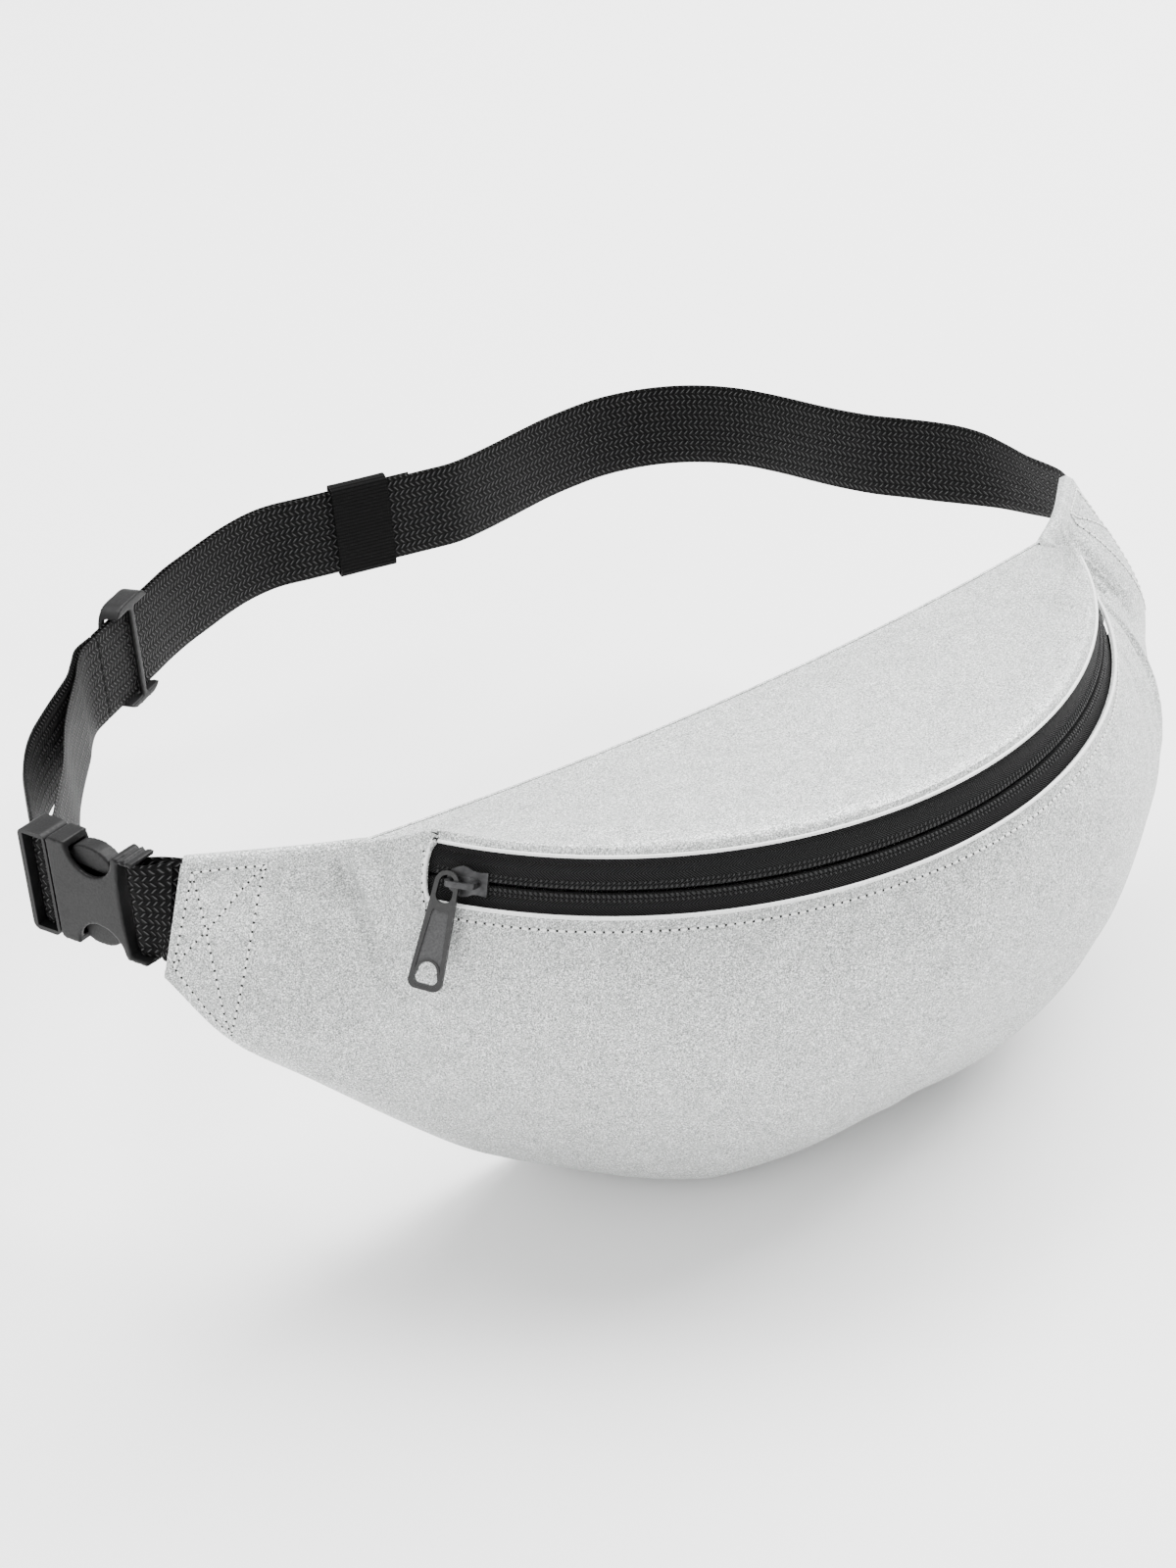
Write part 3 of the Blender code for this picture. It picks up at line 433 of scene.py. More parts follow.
def belt_frame(centre, heading):
    """x along the heading, y outward from the belt's loop and z up, in the belt plane."""
    forward = heading[0] * np.array([1.0, 0.0, 0.0]) + heading[1] * BELT_BACK
    outward = np.cross(forward, BELT_UP)
    if np.dot(outward, belt_point(centre) - belt_point((0.0, 60.0))) < 0.0:
        outward = -outward
    return Frame(belt_point(centre), forward, outward, BELT_UP)


def buckle_frame():
    return belt_frame(BUCKLE_CENTRE, BUCKLE_AXIS)


def buckle_place(x, y):
    """A belt-plane place from the buckle's own length and thickness axes."""
    frame = buckle_frame()
    offset = frame.point(x, y, 0.0) - BELT_ORIGIN
    return (offset[0], float(np.dot(offset, BELT_BACK)))


def loop_rise(place):
    """The loop starts at the adjuster's height and ends level with the buckle."""
    share = max(0.0, min(1.0, (place[1] - 60.0) / 70.0))
    return ADJUSTER_DROOP * share


# ---------------------------------------------------------------- meshes


def closed_mesh(name, points, faces):
    """A mesh from points in millimetres, with its faces turned outward, as an object."""
    mesh = bpy.data.meshes.new(name)
    mesh.from_pydata([tuple(p) for p in np.array(points, float) * MM], [], faces)
    shape = bmesh.new()
    shape.from_mesh(mesh)
    bmesh.ops.recalc_face_normals(shape, faces=shape.faces)
    shape.to_mesh(mesh)
    shape.free()
    made = bpy.data.objects.new(name, mesh)
    bpy.context.scene.collection.objects.link(made)
    return made


def put_piece(name, points, faces, finishes, body, uvs=None, tones=None):
    """Makes one smooth piece. tones gives each face a finish number, and uvs each point a place."""
    made = closed_mesh(name, points, faces)
    mesh = made.data
    for finish in finishes:
        mesh.materials.append(finish)
    if uvs is not None:
        layer = mesh.uv_layers.new(name="weave")
        loops = np.zeros(len(mesh.loops), int)
        mesh.loops.foreach_get("vertex_index", loops)
        layer.data.foreach_set("uv", np.array(uvs, float)[loops].ravel())
    if tones is not None:
        mesh.polygons.foreach_set("material_index", np.array(tones, int))
    mesh.shade_smooth()
    if body:
        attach(made, body)
    return made


def grid_faces(columns, rows, start=0, around=False):
    faces = []
    for i in range(columns - 1):
        for j in range(rows if around else rows - 1):
            k = (j + 1) % rows
            a, b = start + i * rows, start + (i + 1) * rows
            faces.append((a + j, b + j, b + k, a + k))
    return faces


def two_sided_faces(columns, rows):
    """Faces of a closed sheet: a grid of points, the same grid on its other side, and the rim."""
    half = columns * rows
    faces = grid_faces(columns, rows) + [face[::-1] for face in grid_faces(columns, rows, half)]
    for i in range(columns - 1):
        for j in (0, rows - 1):
            a, b = i * rows + j, (i + 1) * rows + j
            faces.append((a, b, b + half, a + half))
    for j in range(rows - 1):
        for i in (0, columns - 1):
            a, b = i * rows + j, i * rows + j + 1
            faces.append((a, b, b + half, a + half))
    return faces


def sheet_piece(name, grid, inward, finish, body):
    """A closed cloth sheet, given its outer face and its thickness along the grid's normals."""
    grid = np.array(grid, float)
    inner = grid + inward * grid_normals(grid)
    points = np.concatenate([grid.reshape(-1, 3), inner.reshape(-1, 3)])
    made = put_piece(name, points, two_sided_faces(*grid.shape[:2]), [finish], body)
    made.data.set_sharp_from_angle(angle=math.radians(50))
    return made


def refine(path, ups, spacing):
    """Reads a path and its width directions at even, close steps along a smooth curve."""
    path = np.array(path, float)
    ups = np.array([unit(up) for up in ups])
    lengths = np.concatenate([[0.0], np.cumsum(np.linalg.norm(np.diff(path, axis=0), axis=1))])
    count = max(3, int(lengths[-1] / spacing))
    marks = [lengths[-1] * i / count for i in range(count + 1)]
    steps = list(lengths)
    fine = np.array([smooth_at(steps, path, mark) for mark in marks])
    turned = np.array([unit(smooth_at(steps, ups, mark)) for mark in marks])
    return fine, turned, np.array(marks)


def webbing_piece(name, path, ups, finish, body, spacing=2.2):
    """Flat webbing with round edges. Its weave map runs in centimetres along and across."""
    fine, turned, marks = refine(path, ups, spacing)
    tangents = np.gradient(fine, axis=0)
    across = 14
    profile = []
    for i in range(across + 1):
        v = -1.0 + 2.0 * i / across
        bulge = math.sqrt(max(0.0, 1.0 - abs(v) ** 14))
        profile.append((v * WEB_WIDTH / 2, WEB / 2 * (0.25 + 0.75 * bulge)))
    ring = [(v, n) for v, n in profile] + [(v, -n) for v, n in reversed(profile)]
    points, uvs = [], []
    for centre, tangent, up, mark in zip(fine, tangents, turned, marks):
        side = unit(np.cross(tangent, up))
        for v, n in ring:
            points.append(centre + up * v + side * n)
            uvs.append((mark / 10.0, v / 10.0 + (6.0 if n < 0.0 else 0.0)))
    size = len(ring)
    faces = grid_faces(len(fine), size, 0, True)
    faces += [tuple(range(size)), tuple(range(len(points) - size, len(points)))]
    made = put_piece(name, points, faces, [finish], body, uvs)
    made.data.set_sharp_from_angle(angle=math.radians(60))
    return made


def tube_piece(name, path, radius, finish, body, ups, sides=8):
    """A rolled cloth edge along a path, with a direction for the top of each section."""
    path = np.array(path, float)
    tangents = np.gradient(path, axis=0)
    points = []
    for centre, tangent, up in zip(path, tangents, ups):
        side = unit(np.cross(tangent, up))
        over = unit(np.cross(side, tangent))
        for j in range(sides):
            a = 2 * math.pi * j / sides
            points.append(centre + radius * (math.cos(a) * side + math.sin(a) * over))
    faces = grid_faces(len(path), sides, 0, True)
    faces += [tuple(range(sides)), tuple(range(len(points) - sides, len(points)))]
    return put_piece(name, points, faces, [finish], body)


STITCH_PITCH = 2.6
THREAD_WIDTH = 0.775
THREAD_LIFT = 0.24
# Sections of one stitch: share of its length, share of its width, and height above the cloth.
THREAD_SHAPE = ((0.0, 0.25, -0.12), (0.12, 0.8, 0.6), (0.5, 1.0, 1.0), (0.88, 0.8, 0.6), (1.0, 0.25, -0.12))


def stitches(name, lines, body):
    """Rows of sewn thread. Each line is a list of (point, normal) along cloth."""
    points, faces, tones = [], [], []
    for line in lines:
        at = np.array([p for p, _ in line], float)
        out = np.array([n for _, n in line], float)
        lengths = np.concatenate([[0.0], np.cumsum(np.linalg.norm(np.diff(at, axis=0), axis=1))])
        count = max(1, round(lengths[-1] / STITCH_PITCH))

        def read(values, mark):
            return np.array([np.interp(mark, lengths, values[:, k]) for k in range(3)])

        for i in range(count):
            step = lengths[-1] / count
            tilt = random.uniform(-0.05, 0.05)
            normal = unit(read(out, (i + 0.5) * step))
            ends = read(at, (i + 0.12) * step), read(at, (i + 0.88) * step)
            along = unit(ends[1] - ends[0])
            side = unit(np.cross(normal, along))
            start = len(points)
            for share, swell, rise in THREAD_SHAPE:
                centre = ends[0] * (1 - share) + ends[1] * share
                centre = centre + normal * rise * THREAD_LIFT + side * tilt * (share - 0.5)
                for j in range(6):
                    a = math.pi * j / 3
                    turn = side * math.cos(a) + normal * math.sin(a) * 0.8
                    points.append(centre + turn * THREAD_WIDTH * swell / 2)
            faces += grid_faces(5, 6, start, True)
            faces += [tuple(range(start, start + 6)), tuple(range(start + 24, start + 30))]
            tones += [0] * 26
            # A dimple after each stitch, given a near-black finish: painted shade in the needle hole.
            hole = read(at, (i + 1.0) * step) + normal * 0.07
            start = len(points)
            for j in range(8):
                a = 2 * math.pi * j / 8
                points.append(hole + along * math.cos(a) * 0.46 + side * math.sin(a) * 0.36)
            points.append(hole - normal * 0.25)
            faces += [(start + j, start + (j + 1) % 8, start + 8) for j in range(8)]
            faces.append(tuple(range(start, start + 8)))
            tones += [1] * 9
    return put_piece(name, points, faces, [thread(), needle_hole_shade()], body, tones=tones)


def solid_plate(name, place, outline, low, high):
    """An outline in a frame's x and z, given a thickness along y. Used to carve and to join."""
    points = [place.point(x, low, z) for x, z in outline] + [place.point(x, high, z) for x, z in outline]
    count = len(outline)
    faces = [tuple(range(count)), tuple(range(count, 2 * count))]
    faces += [(j, (j + 1) % count, count + (j + 1) % count, count + j) for j in range(count)]
    return closed_mesh(name, points, faces)


def solid_box(name, place, low, high):
    outline = [(low[0], low[2]), (high[0], low[2]), (high[0], high[2]), (low[0], high[2])]
    return solid_plate(name, place, outline, low[1], high[1])


def combine(target, tools, operation):
    for tool in tools:
        step = target.modifiers.new(operation.lower(), "BOOLEAN")
        step.object = tool
        step.operation = operation
        step.solver = "EXACT"
        bpy.context.view_layer.update()
        graph = bpy.context.evaluated_depsgraph_get()
        result = bpy.data.meshes.new_from_object(target.evaluated_get(graph))
        target.modifiers.remove(step)
        target.data = result
        bpy.data.objects.remove(tool, do_unlink=True)
    return target


def cut(target, *tools):
    return combine(target, tools, "DIFFERENCE")


def join(target, *tools):
    return combine(target, tools, "UNION")


def moulded(made, finish, body, edge, segments):
    """Gives a solid its finish and bevelled edges."""
    made.data.materials.clear()
    made.data.materials.append(finish)
    bevel = made.modifiers.new("soft_edges", "BEVEL")
    bevel.width = edge * MM
    bevel.segments = segments
    bevel.limit_method = "ANGLE"
    bevel.angle_limit = math.radians(32)
    bevel.use_clamp_overlap = True
    made.data.shade_smooth()
    made.data.set_sharp_from_angle(angle=math.radians(48))
    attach(made, body)
    return made


def softened(made, finish, body, grain=0.42, passes=7):
    """Gives a moulded solid its finish and rolls every edge over, as in a plastic part."""
    remesh = made.modifiers.new("even_skin", "REMESH")
    remesh.mode = "VOXEL"
    remesh.voxel_size = grain * MM
    remesh.use_smooth_shade = True
    smooth = made.modifiers.new("rolled_edges", "SMOOTH")
    smooth.factor = 0.5
    smooth.iterations = passes
    bpy.context.view_layer.update()
    graph = bpy.context.evaluated_depsgraph_get()
    result = bpy.data.meshes.new_from_object(made.evaluated_get(graph))
    made.modifiers.clear()
    made.data = result
    made.data.materials.clear()
    made.data.materials.append(finish)
    made.data.shade_smooth()
    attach(made, body)
    return made


# ---------------------------------------------------------------- materials


class Finish:
    """A material and short ways to add nodes to it."""

    def __init__(self, name, colour, roughness, metallic=0.0, specular=0.5):
        self.material = bpy.data.materials.new(name)
        self.material.use_nodes = True
        self.tree = self.material.node_tree
        self.shader = self.tree.nodes["Principled BSDF"]
        self.shader.inputs["Base Color"].default_value = (*colour, 1.0)
        self.shader.inputs["Roughness"].default_value = roughness
        self.shader.inputs["Metallic"].default_value = metallic
        self.shader.inputs["Specular IOR Level"].default_value = specular

    def node(self, kind, **values):
        made = self.tree.nodes.new(kind)
        for key, value in values.items():
            setattr(made, key, value)
        return made

    def link(self, source, target):
        self.tree.links.new(source, target)

    def place(self):
        return self.node("ShaderNodeTexCoord").outputs["Object"]

    def noise(self, scale, detail=2.0, roughness=0.5):
        made = self.node("ShaderNodeTexNoise")
        made.inputs["Scale"].default_value = scale
        made.inputs["Detail"].default_value = detail
        made.inputs["Roughness"].default_value = roughness
        self.link(self.place(), made.inputs["Vector"])
        return made.outputs["Fac"]

    def maths(self, operation, a, b=None, c=None):
        made = self.node("ShaderNodeMath", operation=operation)
        for socket, value in zip(made.inputs, (a, b, c)):
            if value is None:
                continue
            if isinstance(value, (int, float)):
                socket.default_value = value
            else:
                self.link(value, socket)
        return made.outputs[0]

    def spread(self, value, low, high, to_low, to_high):
        made = self.node("ShaderNodeMapRange")
        self.link(value, made.inputs["Value"])
        for key, number in (("From Min", low), ("From Max", high), ("To Min", to_low), ("To Max", to_high)):
            made.inputs[key].default_value = number
        return made.outputs["Result"]

    def colours(self, value, stops):
        made = self.node("ShaderNodeValToRGB")
        ramp = made.color_ramp
        while len(ramp.elements) < len(stops):
            ramp.elements.new(0.5)
        for element, (at, colour) in zip(ramp.elements, stops):
            element.position = at
            element.color = (*colour, 1.0)
        self.link(value, made.inputs["Fac"])
        return made.outputs["Color"]

    def bump(self, *layers):
        """Each layer is (height, depth in millimetres)."""
        last = None
        for height, depth in layers:
            made = self.node("ShaderNodeBump")
            made.inputs["Strength"].default_value = 1.0
            made.inputs["Distance"].default_value = depth * MM
            self.link(height, made.inputs["Height"])
            if last is not None:
                self.link(last, made.inputs["Normal"])
            last = made.outputs["Normal"]
        self.link(last, self.shader.inputs["Normal"])

    def weave_map(self):
        uv = self.node("ShaderNodeUVMap", uv_map="weave").outputs["UV"]
        parts = self.node("ShaderNodeSeparateXYZ")
        self.link(uv, parts.inputs[0])
        return self.maths("MULTIPLY", parts.outputs[0], 10.0), self.maths("MULTIPLY", parts.outputs[1], 10.0)


FINISHES = {}


def once(make):
    """Keeps each material so that it is made only once."""

    def kept():
        if make.__name__ not in FINISHES:
            FINISHES[make.__name__] = make().material
        return FINISHES[make.__name__]

    return kept


@once
def reflective_cloth():
    """Silver reflective cloth: fine glass beads of many greys over soft mottling."""
    made = Finish("reflective_cloth", (0.62, 0.63, 0.62), 0.5, 0.2, 0.35)
    fine = made.noise(2600.0, 0.0)
    coarse = made.noise(1150.0, 1.0, 0.7)
    mottle = made.noise(150.0, 3.0, 0.6)
    tone = made.maths("ADD", made.maths("MULTIPLY", fine, 0.60), made.maths("MULTIPLY", coarse, 0.30))
    tone = made.maths("ADD", tone, made.maths("MULTIPLY", mottle, 0.10))
    grey = made.colours(tone, ((0.34, (0.17, 0.178, 0.174)), (0.46, (0.36, 0.371, 0.365)),
                               (0.56, (0.52, 0.533, 0.527)), (0.66, (0.90, 0.91, 0.905))))
    made.link(grey, made.shader.inputs["Base Color"])
    made.link(made.spread(fine, 0.35, 0.7, 0.62, 0.38), made.shader.inputs["Roughness"])
    made.bump((mottle, 0.35), (coarse, 0.12))
    return made


@once
def cloth_edge_highlight():
    # The folded edge of the same cloth, painted lighter than the panels: a painted highlight along the fold.
    made = Finish("cloth_edge_highlight", (0.80, 0.81, 0.80), 0.5, 0.1, 0.5)
    speck = made.noise(2600.0, 1.0)
    made.link(made.colours(speck, ((0.3, (0.68, 0.69, 0.68)), (0.7, (0.9, 0.905, 0.9)))),
              made.shader.inputs["Base Color"])
    made.bump((speck, 0.05))
    return made


@once
def thread():
    made = Finish("white_thread", (0.78, 0.79, 0.77), 0.55)
    twist = made.noise(3000.0, 2.0)
    made.link(made.colours(twist, ((0.3, (0.6, 0.61, 0.6)), (0.65, (0.88, 0.885, 0.87)))),
              made.shader.inputs["Base Color"])
    made.bump((twist, 0.05))
    return made


@once
def needle_hole_shade():
    # Near-black: painted shade inside the needle holes.
    made = Finish("needle_hole_shade", (0.01, 0.01, 0.01), 0.9)
    made.bump((made.noise(2500.0), 0.02))
    return made


@once
def webbing():
    """Black polypropylene webbing: small yarn ovals in columns that lean left and right in turn."""
    made = Finish("black_webbing", (0.004, 0.004, 0.004), 0.6, 0.0, 0.08)
    along, across = made.weave_map()
    column = made.maths("DIVIDE", across, 2.0)
    lean = made.maths("PINGPONG", column, 1.0)
    phase = made.maths("ADD", made.maths("DIVIDE", along, 2.0), made.maths("MULTIPLY", lean, 0.9))
    ovals = made.maths("COSINE", made.maths("MULTIPLY", phase, 2 * math.pi))
    ovals = made.spread(ovals, -0.7, 1.0, 0.0, 1.0)
    grooves = made.maths("ABSOLUTE", made.maths("SINE", made.maths("MULTIPLY", column, math.pi)))
    height = made.maths("MULTIPLY", ovals, made.spread(grooves, 0.0, 0.7, 0.25, 1.0))
    fuzz = made.noise(4200.0, 2.0)
    # Colour follows the weave's height: painted shade in the grooves and painted glints on the tops of the
    # yarn ovals.
    made.link(made.colours(height, ((0.0, (0.0006, 0.0006, 0.0006)), (0.68, (0.0018, 0.0018, 0.0018)),
                                    (1.0, (0.055, 0.055, 0.0555)))), made.shader.inputs["Base Color"])
    made.bump((height, 0.6), (fuzz, 0.05))
    return made


@once
def elastic():
    made = Finish("ribbed_elastic", (0.003, 0.003, 0.003), 0.85, 0.0, 0.06)
    along, across = made.weave_map()
    ribs = made.maths("ABSOLUTE", made.maths("SINE", made.maths("MULTIPLY", along, math.pi / 1.25)))
    picks = made.maths("ABSOLUTE", made.maths("SINE", made.maths("MULTIPLY", across, math.pi / 0.8)))
    height = made.maths("MULTIPLY", ribs, made.spread(picks, 0.0, 1.0, 0.7, 1.0))
    # Colour follows the ribs' height: painted shade between the ribs and a painted highlight on their tops.
    made.link(made.colours(height, ((0.0, (0.001, 0.001, 0.001)), (1.0, (0.006, 0.006, 0.006)))),
              made.shader.inputs["Base Color"])
    made.bump((height, 0.22), (made.noise(3500.0), 0.05))
    return made


@once
def zip_tape():
    """Herringbone: fine diagonal ribs whose lean turns over every few millimetres."""
    made = Finish("herringbone_tape", (0.004, 0.004, 0.004), 0.7, 0.0, 0.10)
    along, across = made.weave_map()
    zigzag = made.maths("PINGPONG", across, 2.4)
    phase = made.maths("DIVIDE", made.maths("ADD", along, made.maths("MULTIPLY", zigzag, 1.25)), 0.95)
    ribs = made.spread(made.maths("SINE", made.maths("MULTIPLY", phase, 2 * math.pi)), -1.0, 1.0, 0.0, 1.0)
    # Colour follows the ribs' height: painted shade between the ribs and a painted highlight on their
    # crests.
    made.link(made.colours(ribs, ((0.0, (0.001, 0.001, 0.001)), (1.0, (0.022, 0.022, 0.0223)))),
              made.shader.inputs["Base Color"])
    made.bump((ribs, 0.28), (made.noise(3800.0), 0.04))
    return made


@once
def black_thread():
    made = Finish("black_thread", (0.008, 0.008, 0.008), 0.55, 0.0, 0.22)
    twist = made.noise(3000.0, 2.0)
    made.link(made.colours(twist, ((0.3, (0.006, 0.006, 0.006)), (0.7, (0.035, 0.035, 0.036)))),
              made.shader.inputs["Base Color"])
    made.bump((twist, 0.06))
    return made


@once
def moulded_plastic():
    made = Finish("moulded_plastic", (0.006, 0.006, 0.0063), 0.5, 0.0, 0.16)
    grain = made.noise(1500.0, 3.0, 0.6)
    cloud = made.noise(90.0, 3.0)
    made.link(made.colours(cloud, ((0.35, (0.004, 0.004, 0.0042)), (0.7, (0.008, 0.008, 0.0082)))),
              made.shader.inputs["Base Color"])
    made.link(made.spread(grain, 0.3, 0.7, 0.38, 0.56), made.shader.inputs["Roughness"])
    made.bump((grain, 0.045))
    return made


@once
def gunmetal():
    made = Finish("gunmetal", (0.05, 0.05, 0.052), 0.32, 0.8, 0.4)
    cast = made.noise(900.0, 3.0, 0.6)
    wear = made.noise(240.0, 3.0)
    made.link(made.colours(wear, ((0.35, (0.03, 0.03, 0.031)), (0.68, (0.085, 0.085, 0.087)))),
              made.shader.inputs["Base Color"])
    made.link(made.spread(cast, 0.3, 0.7, 0.28, 0.46), made.shader.inputs["Roughness"])
    made.bump((cast, 0.03))
    return made


@once
def pull_black():
    made = Finish("pull_rim", (0.008, 0.008, 0.008), 0.3, 0.3, 0.35)
    cast = made.noise(900.0, 3.0)
    made.link(made.spread(cast, 0.3, 0.7, 0.24, 0.42), made.shader.inputs["Roughness"])
    made.link(made.colours(cast, ((0.3, (0.005, 0.005, 0.005)), (0.7, (0.014, 0.014, 0.0142)))),
              made.shader.inputs["Base Color"])
    made.bump((cast, 0.02))
    return made


@once
def pull_face():
    made = Finish("pull_face", (0.05, 0.05, 0.051), 0.55, 0.2, 0.25)
    grain = made.noise(1500.0, 3.0, 0.65)
    made.link(made.colours(grain, ((0.3, (0.035, 0.035, 0.036)), (0.7, (0.065, 0.065, 0.066)))),
              made.shader.inputs["Base Color"])
    made.bump((grain, 0.05))
    return made


# ---------------------------------------------------------------- cloth panels


def along_column(column, count):
    """Reads a column of points at even distances, and gives its length."""
    lengths = np.concatenate([[0.0], np.cumsum(np.linalg.norm(np.diff(column, axis=0), axis=1))])
    marks = np.linspace(0.0, lengths[-1], count)
    return np.stack([np.interp(marks, lengths, column[:, k]) for k in range(3)], axis=1), lengths[-1]


PANEL_ROWS = 110


def panel_steps():
    """Signed steps along the pack, close together round the ends of the zip."""
    zip_part = list(np.linspace(0.0, 1.0, 91))
    turn = list(np.linspace(1.0, ZIP_TURN, 13)[1:])
    wing = list(ZIP_TURN + (2.0 - ZIP_TURN) * np.linspace(0.0, 1.0, 75)[1:] ** 0.92)
    half = zip_part + turn + wing
    return [-step for step in reversed(half[1:])] + half


STEP_LENGTH = 150.0
# Folds of the front panel: knots of (step, distance down), half width and height.
# Several knots were projected onto the panel from positions in the photo, the others given.
PANEL_CREASES = (
    (((-1.39, 0.0), (-1.19, 23.0), (-1.11, 42.0), (-1.07, 58.0)), 3.2, 2.7),
    (((-1.44, 0.0), (-1.26, 19.0), (-1.15, 38.0), (-1.11, 54.0)), 3.6, -2.8),
    (((-1.28, 0.0), (-1.19, 11.5), (-1.16, 18.0)), 1.9, -1.8),
    (((-1.22, 0.0), (-1.13, 14.0), (-1.10, 24.0)), 2.4, 0.9),
    (((-1.55, 8.0), (-1.42, 30.0), (-1.30, 52.0)), 4.5, 0.7),
    (((1.54, 3.0), (1.47, 26.0), (1.42, 48.0)), 2.2, 1.5),
    (((1.60, 4.0), (1.52, 28.0), (1.46, 50.0)), 3.2, -1.1),
    (((1.43, 6.0), (1.42, 19.0), (1.36, 34.0), (1.20, 46.0), (1.05, 52.0)), 2.4, -1.6),
    (((1.36, 3.0), (1.34, 18.0), (1.26, 36.0), (1.12, 52.0)), 2.6, 1.4),
    (((1.24, 2.0), (1.22, 12.0), (1.16, 20.0)), 2.2, -1.2),
    (((1.17, 2.0), (1.06, 26.0), (0.98, 50.0), (0.94, 80.0)), 2.8, 1.4),
    (((1.09, 6.0), (0.98, 30.0), (0.90, 60.0)), 3.0, -1.3),
    (((0.99, 8.0), (0.88, 32.0), (0.80, 66.0)), 3.4, 0.9),
    (((0.87, 7.0), (0.79, 26.0), (0.72, 56.0)), 3.6, -0.8),
    (((-0.98, 9.0), (-0.92, 30.0), (-0.84, 56.0)), 4.2, -0.7),
    (((-0.30, 60.0), (-0.12, 76.0), (0.10, 82.0)), 6.0, 0.6),
    (((0.25, 70.0), (0.45, 84.0), (0.62, 88.0)), 6.0, -0.6),
)


def crease_depth(step, down, creases):
    """Height of the folds at a signed step and distances down the panel, in millimetres."""
    total = np.zeros_like(down)
    for knots, width, height in creases:
        marks = np.linspace(0.0, len(knots) - 1.0, 60)
        curve = np.array([smooth_at(list(range(len(knots))), np.array(knots), mark) for mark in marks])
        away = np.hypot((curve[:, 0] - step)[:, None] * STEP_LENGTH, curve[:, 1][:, None] - down[None, :])
        nearest = away.argmin(axis=0)
        share = nearest / 59.0
        fade = np.sin(math.pi * np.clip(share, 0.04, 0.96)) ** 0.6
        total += fade * height * np.exp(-((away.min(axis=0) / width) ** 2))
    return total


def soft_waves(step, down):
    """Slow, shallow unevenness of filled cloth."""
    x = step * STEP_LENGTH
    waves = 0.35 * np.sin(x / 21.0 + down / 33.0) + 0.30 * np.sin(x / 34.0 - down / 19.0 + 1.3)
    pucker = 0.16 * np.sin(x / 1.7 + 1.4 * np.sin(x / 13.0)) * np.exp(-(((down - 5.0) / 6.0) ** 2))
    return 1.5 * waves + 0.25 * np.sin(x / 11.0 + 2.0 * np.sin(down / 27.0)) + pucker


def front_surface():
    """The outer face of the front panel: its steps, its points and each column's length."""
    steps = panel_steps()
    columns, lengths = [], []
    for step in steps:
        column = front_section(math.copysign(1.0, step), abs(step), 60)
        even, length = along_column(column, PANEL_ROWS)
        columns.append(even)
        lengths.append(length)
    grid = np.array(columns)
    normals = grid_normals(grid)
    for i, step in enumerate(steps):
        down = np.linspace(0.0, lengths[i], PANEL_ROWS)
        edge = np.clip(down / 7.0, 0.0, 1.0) * np.clip((lengths[i] - down) / 30.0, 0.0, 1.0)
        tip = np.clip((2.0 - abs(step)) / 0.12, 0.0, 1.0)
        rest = np.clip(grid[i][:, 2] / 12.0, 0.0, 1.0)
        height = crease_depth(step, down, PANEL_CREASES) + soft_waves(step, down)
        grid[i] -= normals[i] * (height * edge * tip * rest)[:, None]
    return np.array(steps), grid, np.array(lengths)


class Surface:
    """Reads points and normals of a panel at a step and a distance down from its top edge."""

    def __init__(self, steps, grid, lengths, outward):
        self.steps, self.grid, self.lengths = steps, grid, lengths
        self.normals = grid_normals(grid) * outward

    def read(self, step, down):
        i = int(np.clip(np.searchsorted(self.steps, step) - 1, 0, len(self.steps) - 2))
        s = (step - self.steps[i]) / (self.steps[i + 1] - self.steps[i])
        found = []
        for values in (self.grid, self.normals):
            pair = []
            for k in (i, i + 1):
                mark = np.clip(down / self.lengths[k], 0.0, 1.0) * (PANEL_ROWS - 1)
                j = min(int(mark), PANEL_ROWS - 2)
                pair.append(values[k][j] * (1 - mark + j) + values[k][j + 1] * (mark - j))
            found.append(pair[0] * (1 - s) + pair[1] * s)
        return found[0], unit(found[1])

    def line(self, places, spacing=1.2):
        """Points and normals along straight runs between (step, down) places."""
        read = []
        for (s0, d0), (s1, d1) in zip(places, places[1:]):
            ends = self.read(s0, d0)[0], self.read(s1, d1)[0]
            count = max(2, int(np.linalg.norm(ends[1] - ends[0]) / spacing))
            read += [self.read(s0 + (s1 - s0) * i / count, d0 + (d1 - d0) * i / count) for i in range(count)]
        read.append(self.read(*places[-1]))
        return read


def build_front_panel():
    steps, grid, lengths = front_surface()
    made = sheet_piece("front_panel_cloth", grid, FABRIC, reflective_cloth(), "pack")
    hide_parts("front_panel")
    return Surface(steps, grid, lengths, -1.0)


def build_front_trim(surface):
    """The folded edge round the zip, its topstitching and the box stitching of both wings."""
    around = [s for s in surface.steps if abs(s) <= ZIP_TURN + 1e-6]
    edge = [surface.read(step, 0.25) for step in around]
    tube_piece("zip_fold_lower", [p + n * 0.15 for p, n in edge], 0.62, cloth_edge_highlight(), "pack",
               ups=[n for _, n in edge])
    seam = [(-1.0 + 2.0 * i / 60, 4.2) for i in range(61)]
    turn = [(1.115, 0.8), (1.075, 4.6), (1.03, 5.0)]
    lines = [surface.line([(-s, d) for s, d in turn] + seam + turn[::-1])]
    for side in (-1.0, 1.0):
        corners = [(side * s, d) for s, d in ((1.955, 3.0), (1.70, 3.0), (1.722, 55.0), (1.973, 30.0))]
        lines.append(surface.line(corners + corners[:1]))
        lines.append(surface.line([corners[0], corners[2]]))
        lines.append(surface.line([corners[1], corners[3]]))
    stitches("front_stitching", lines, "pack")


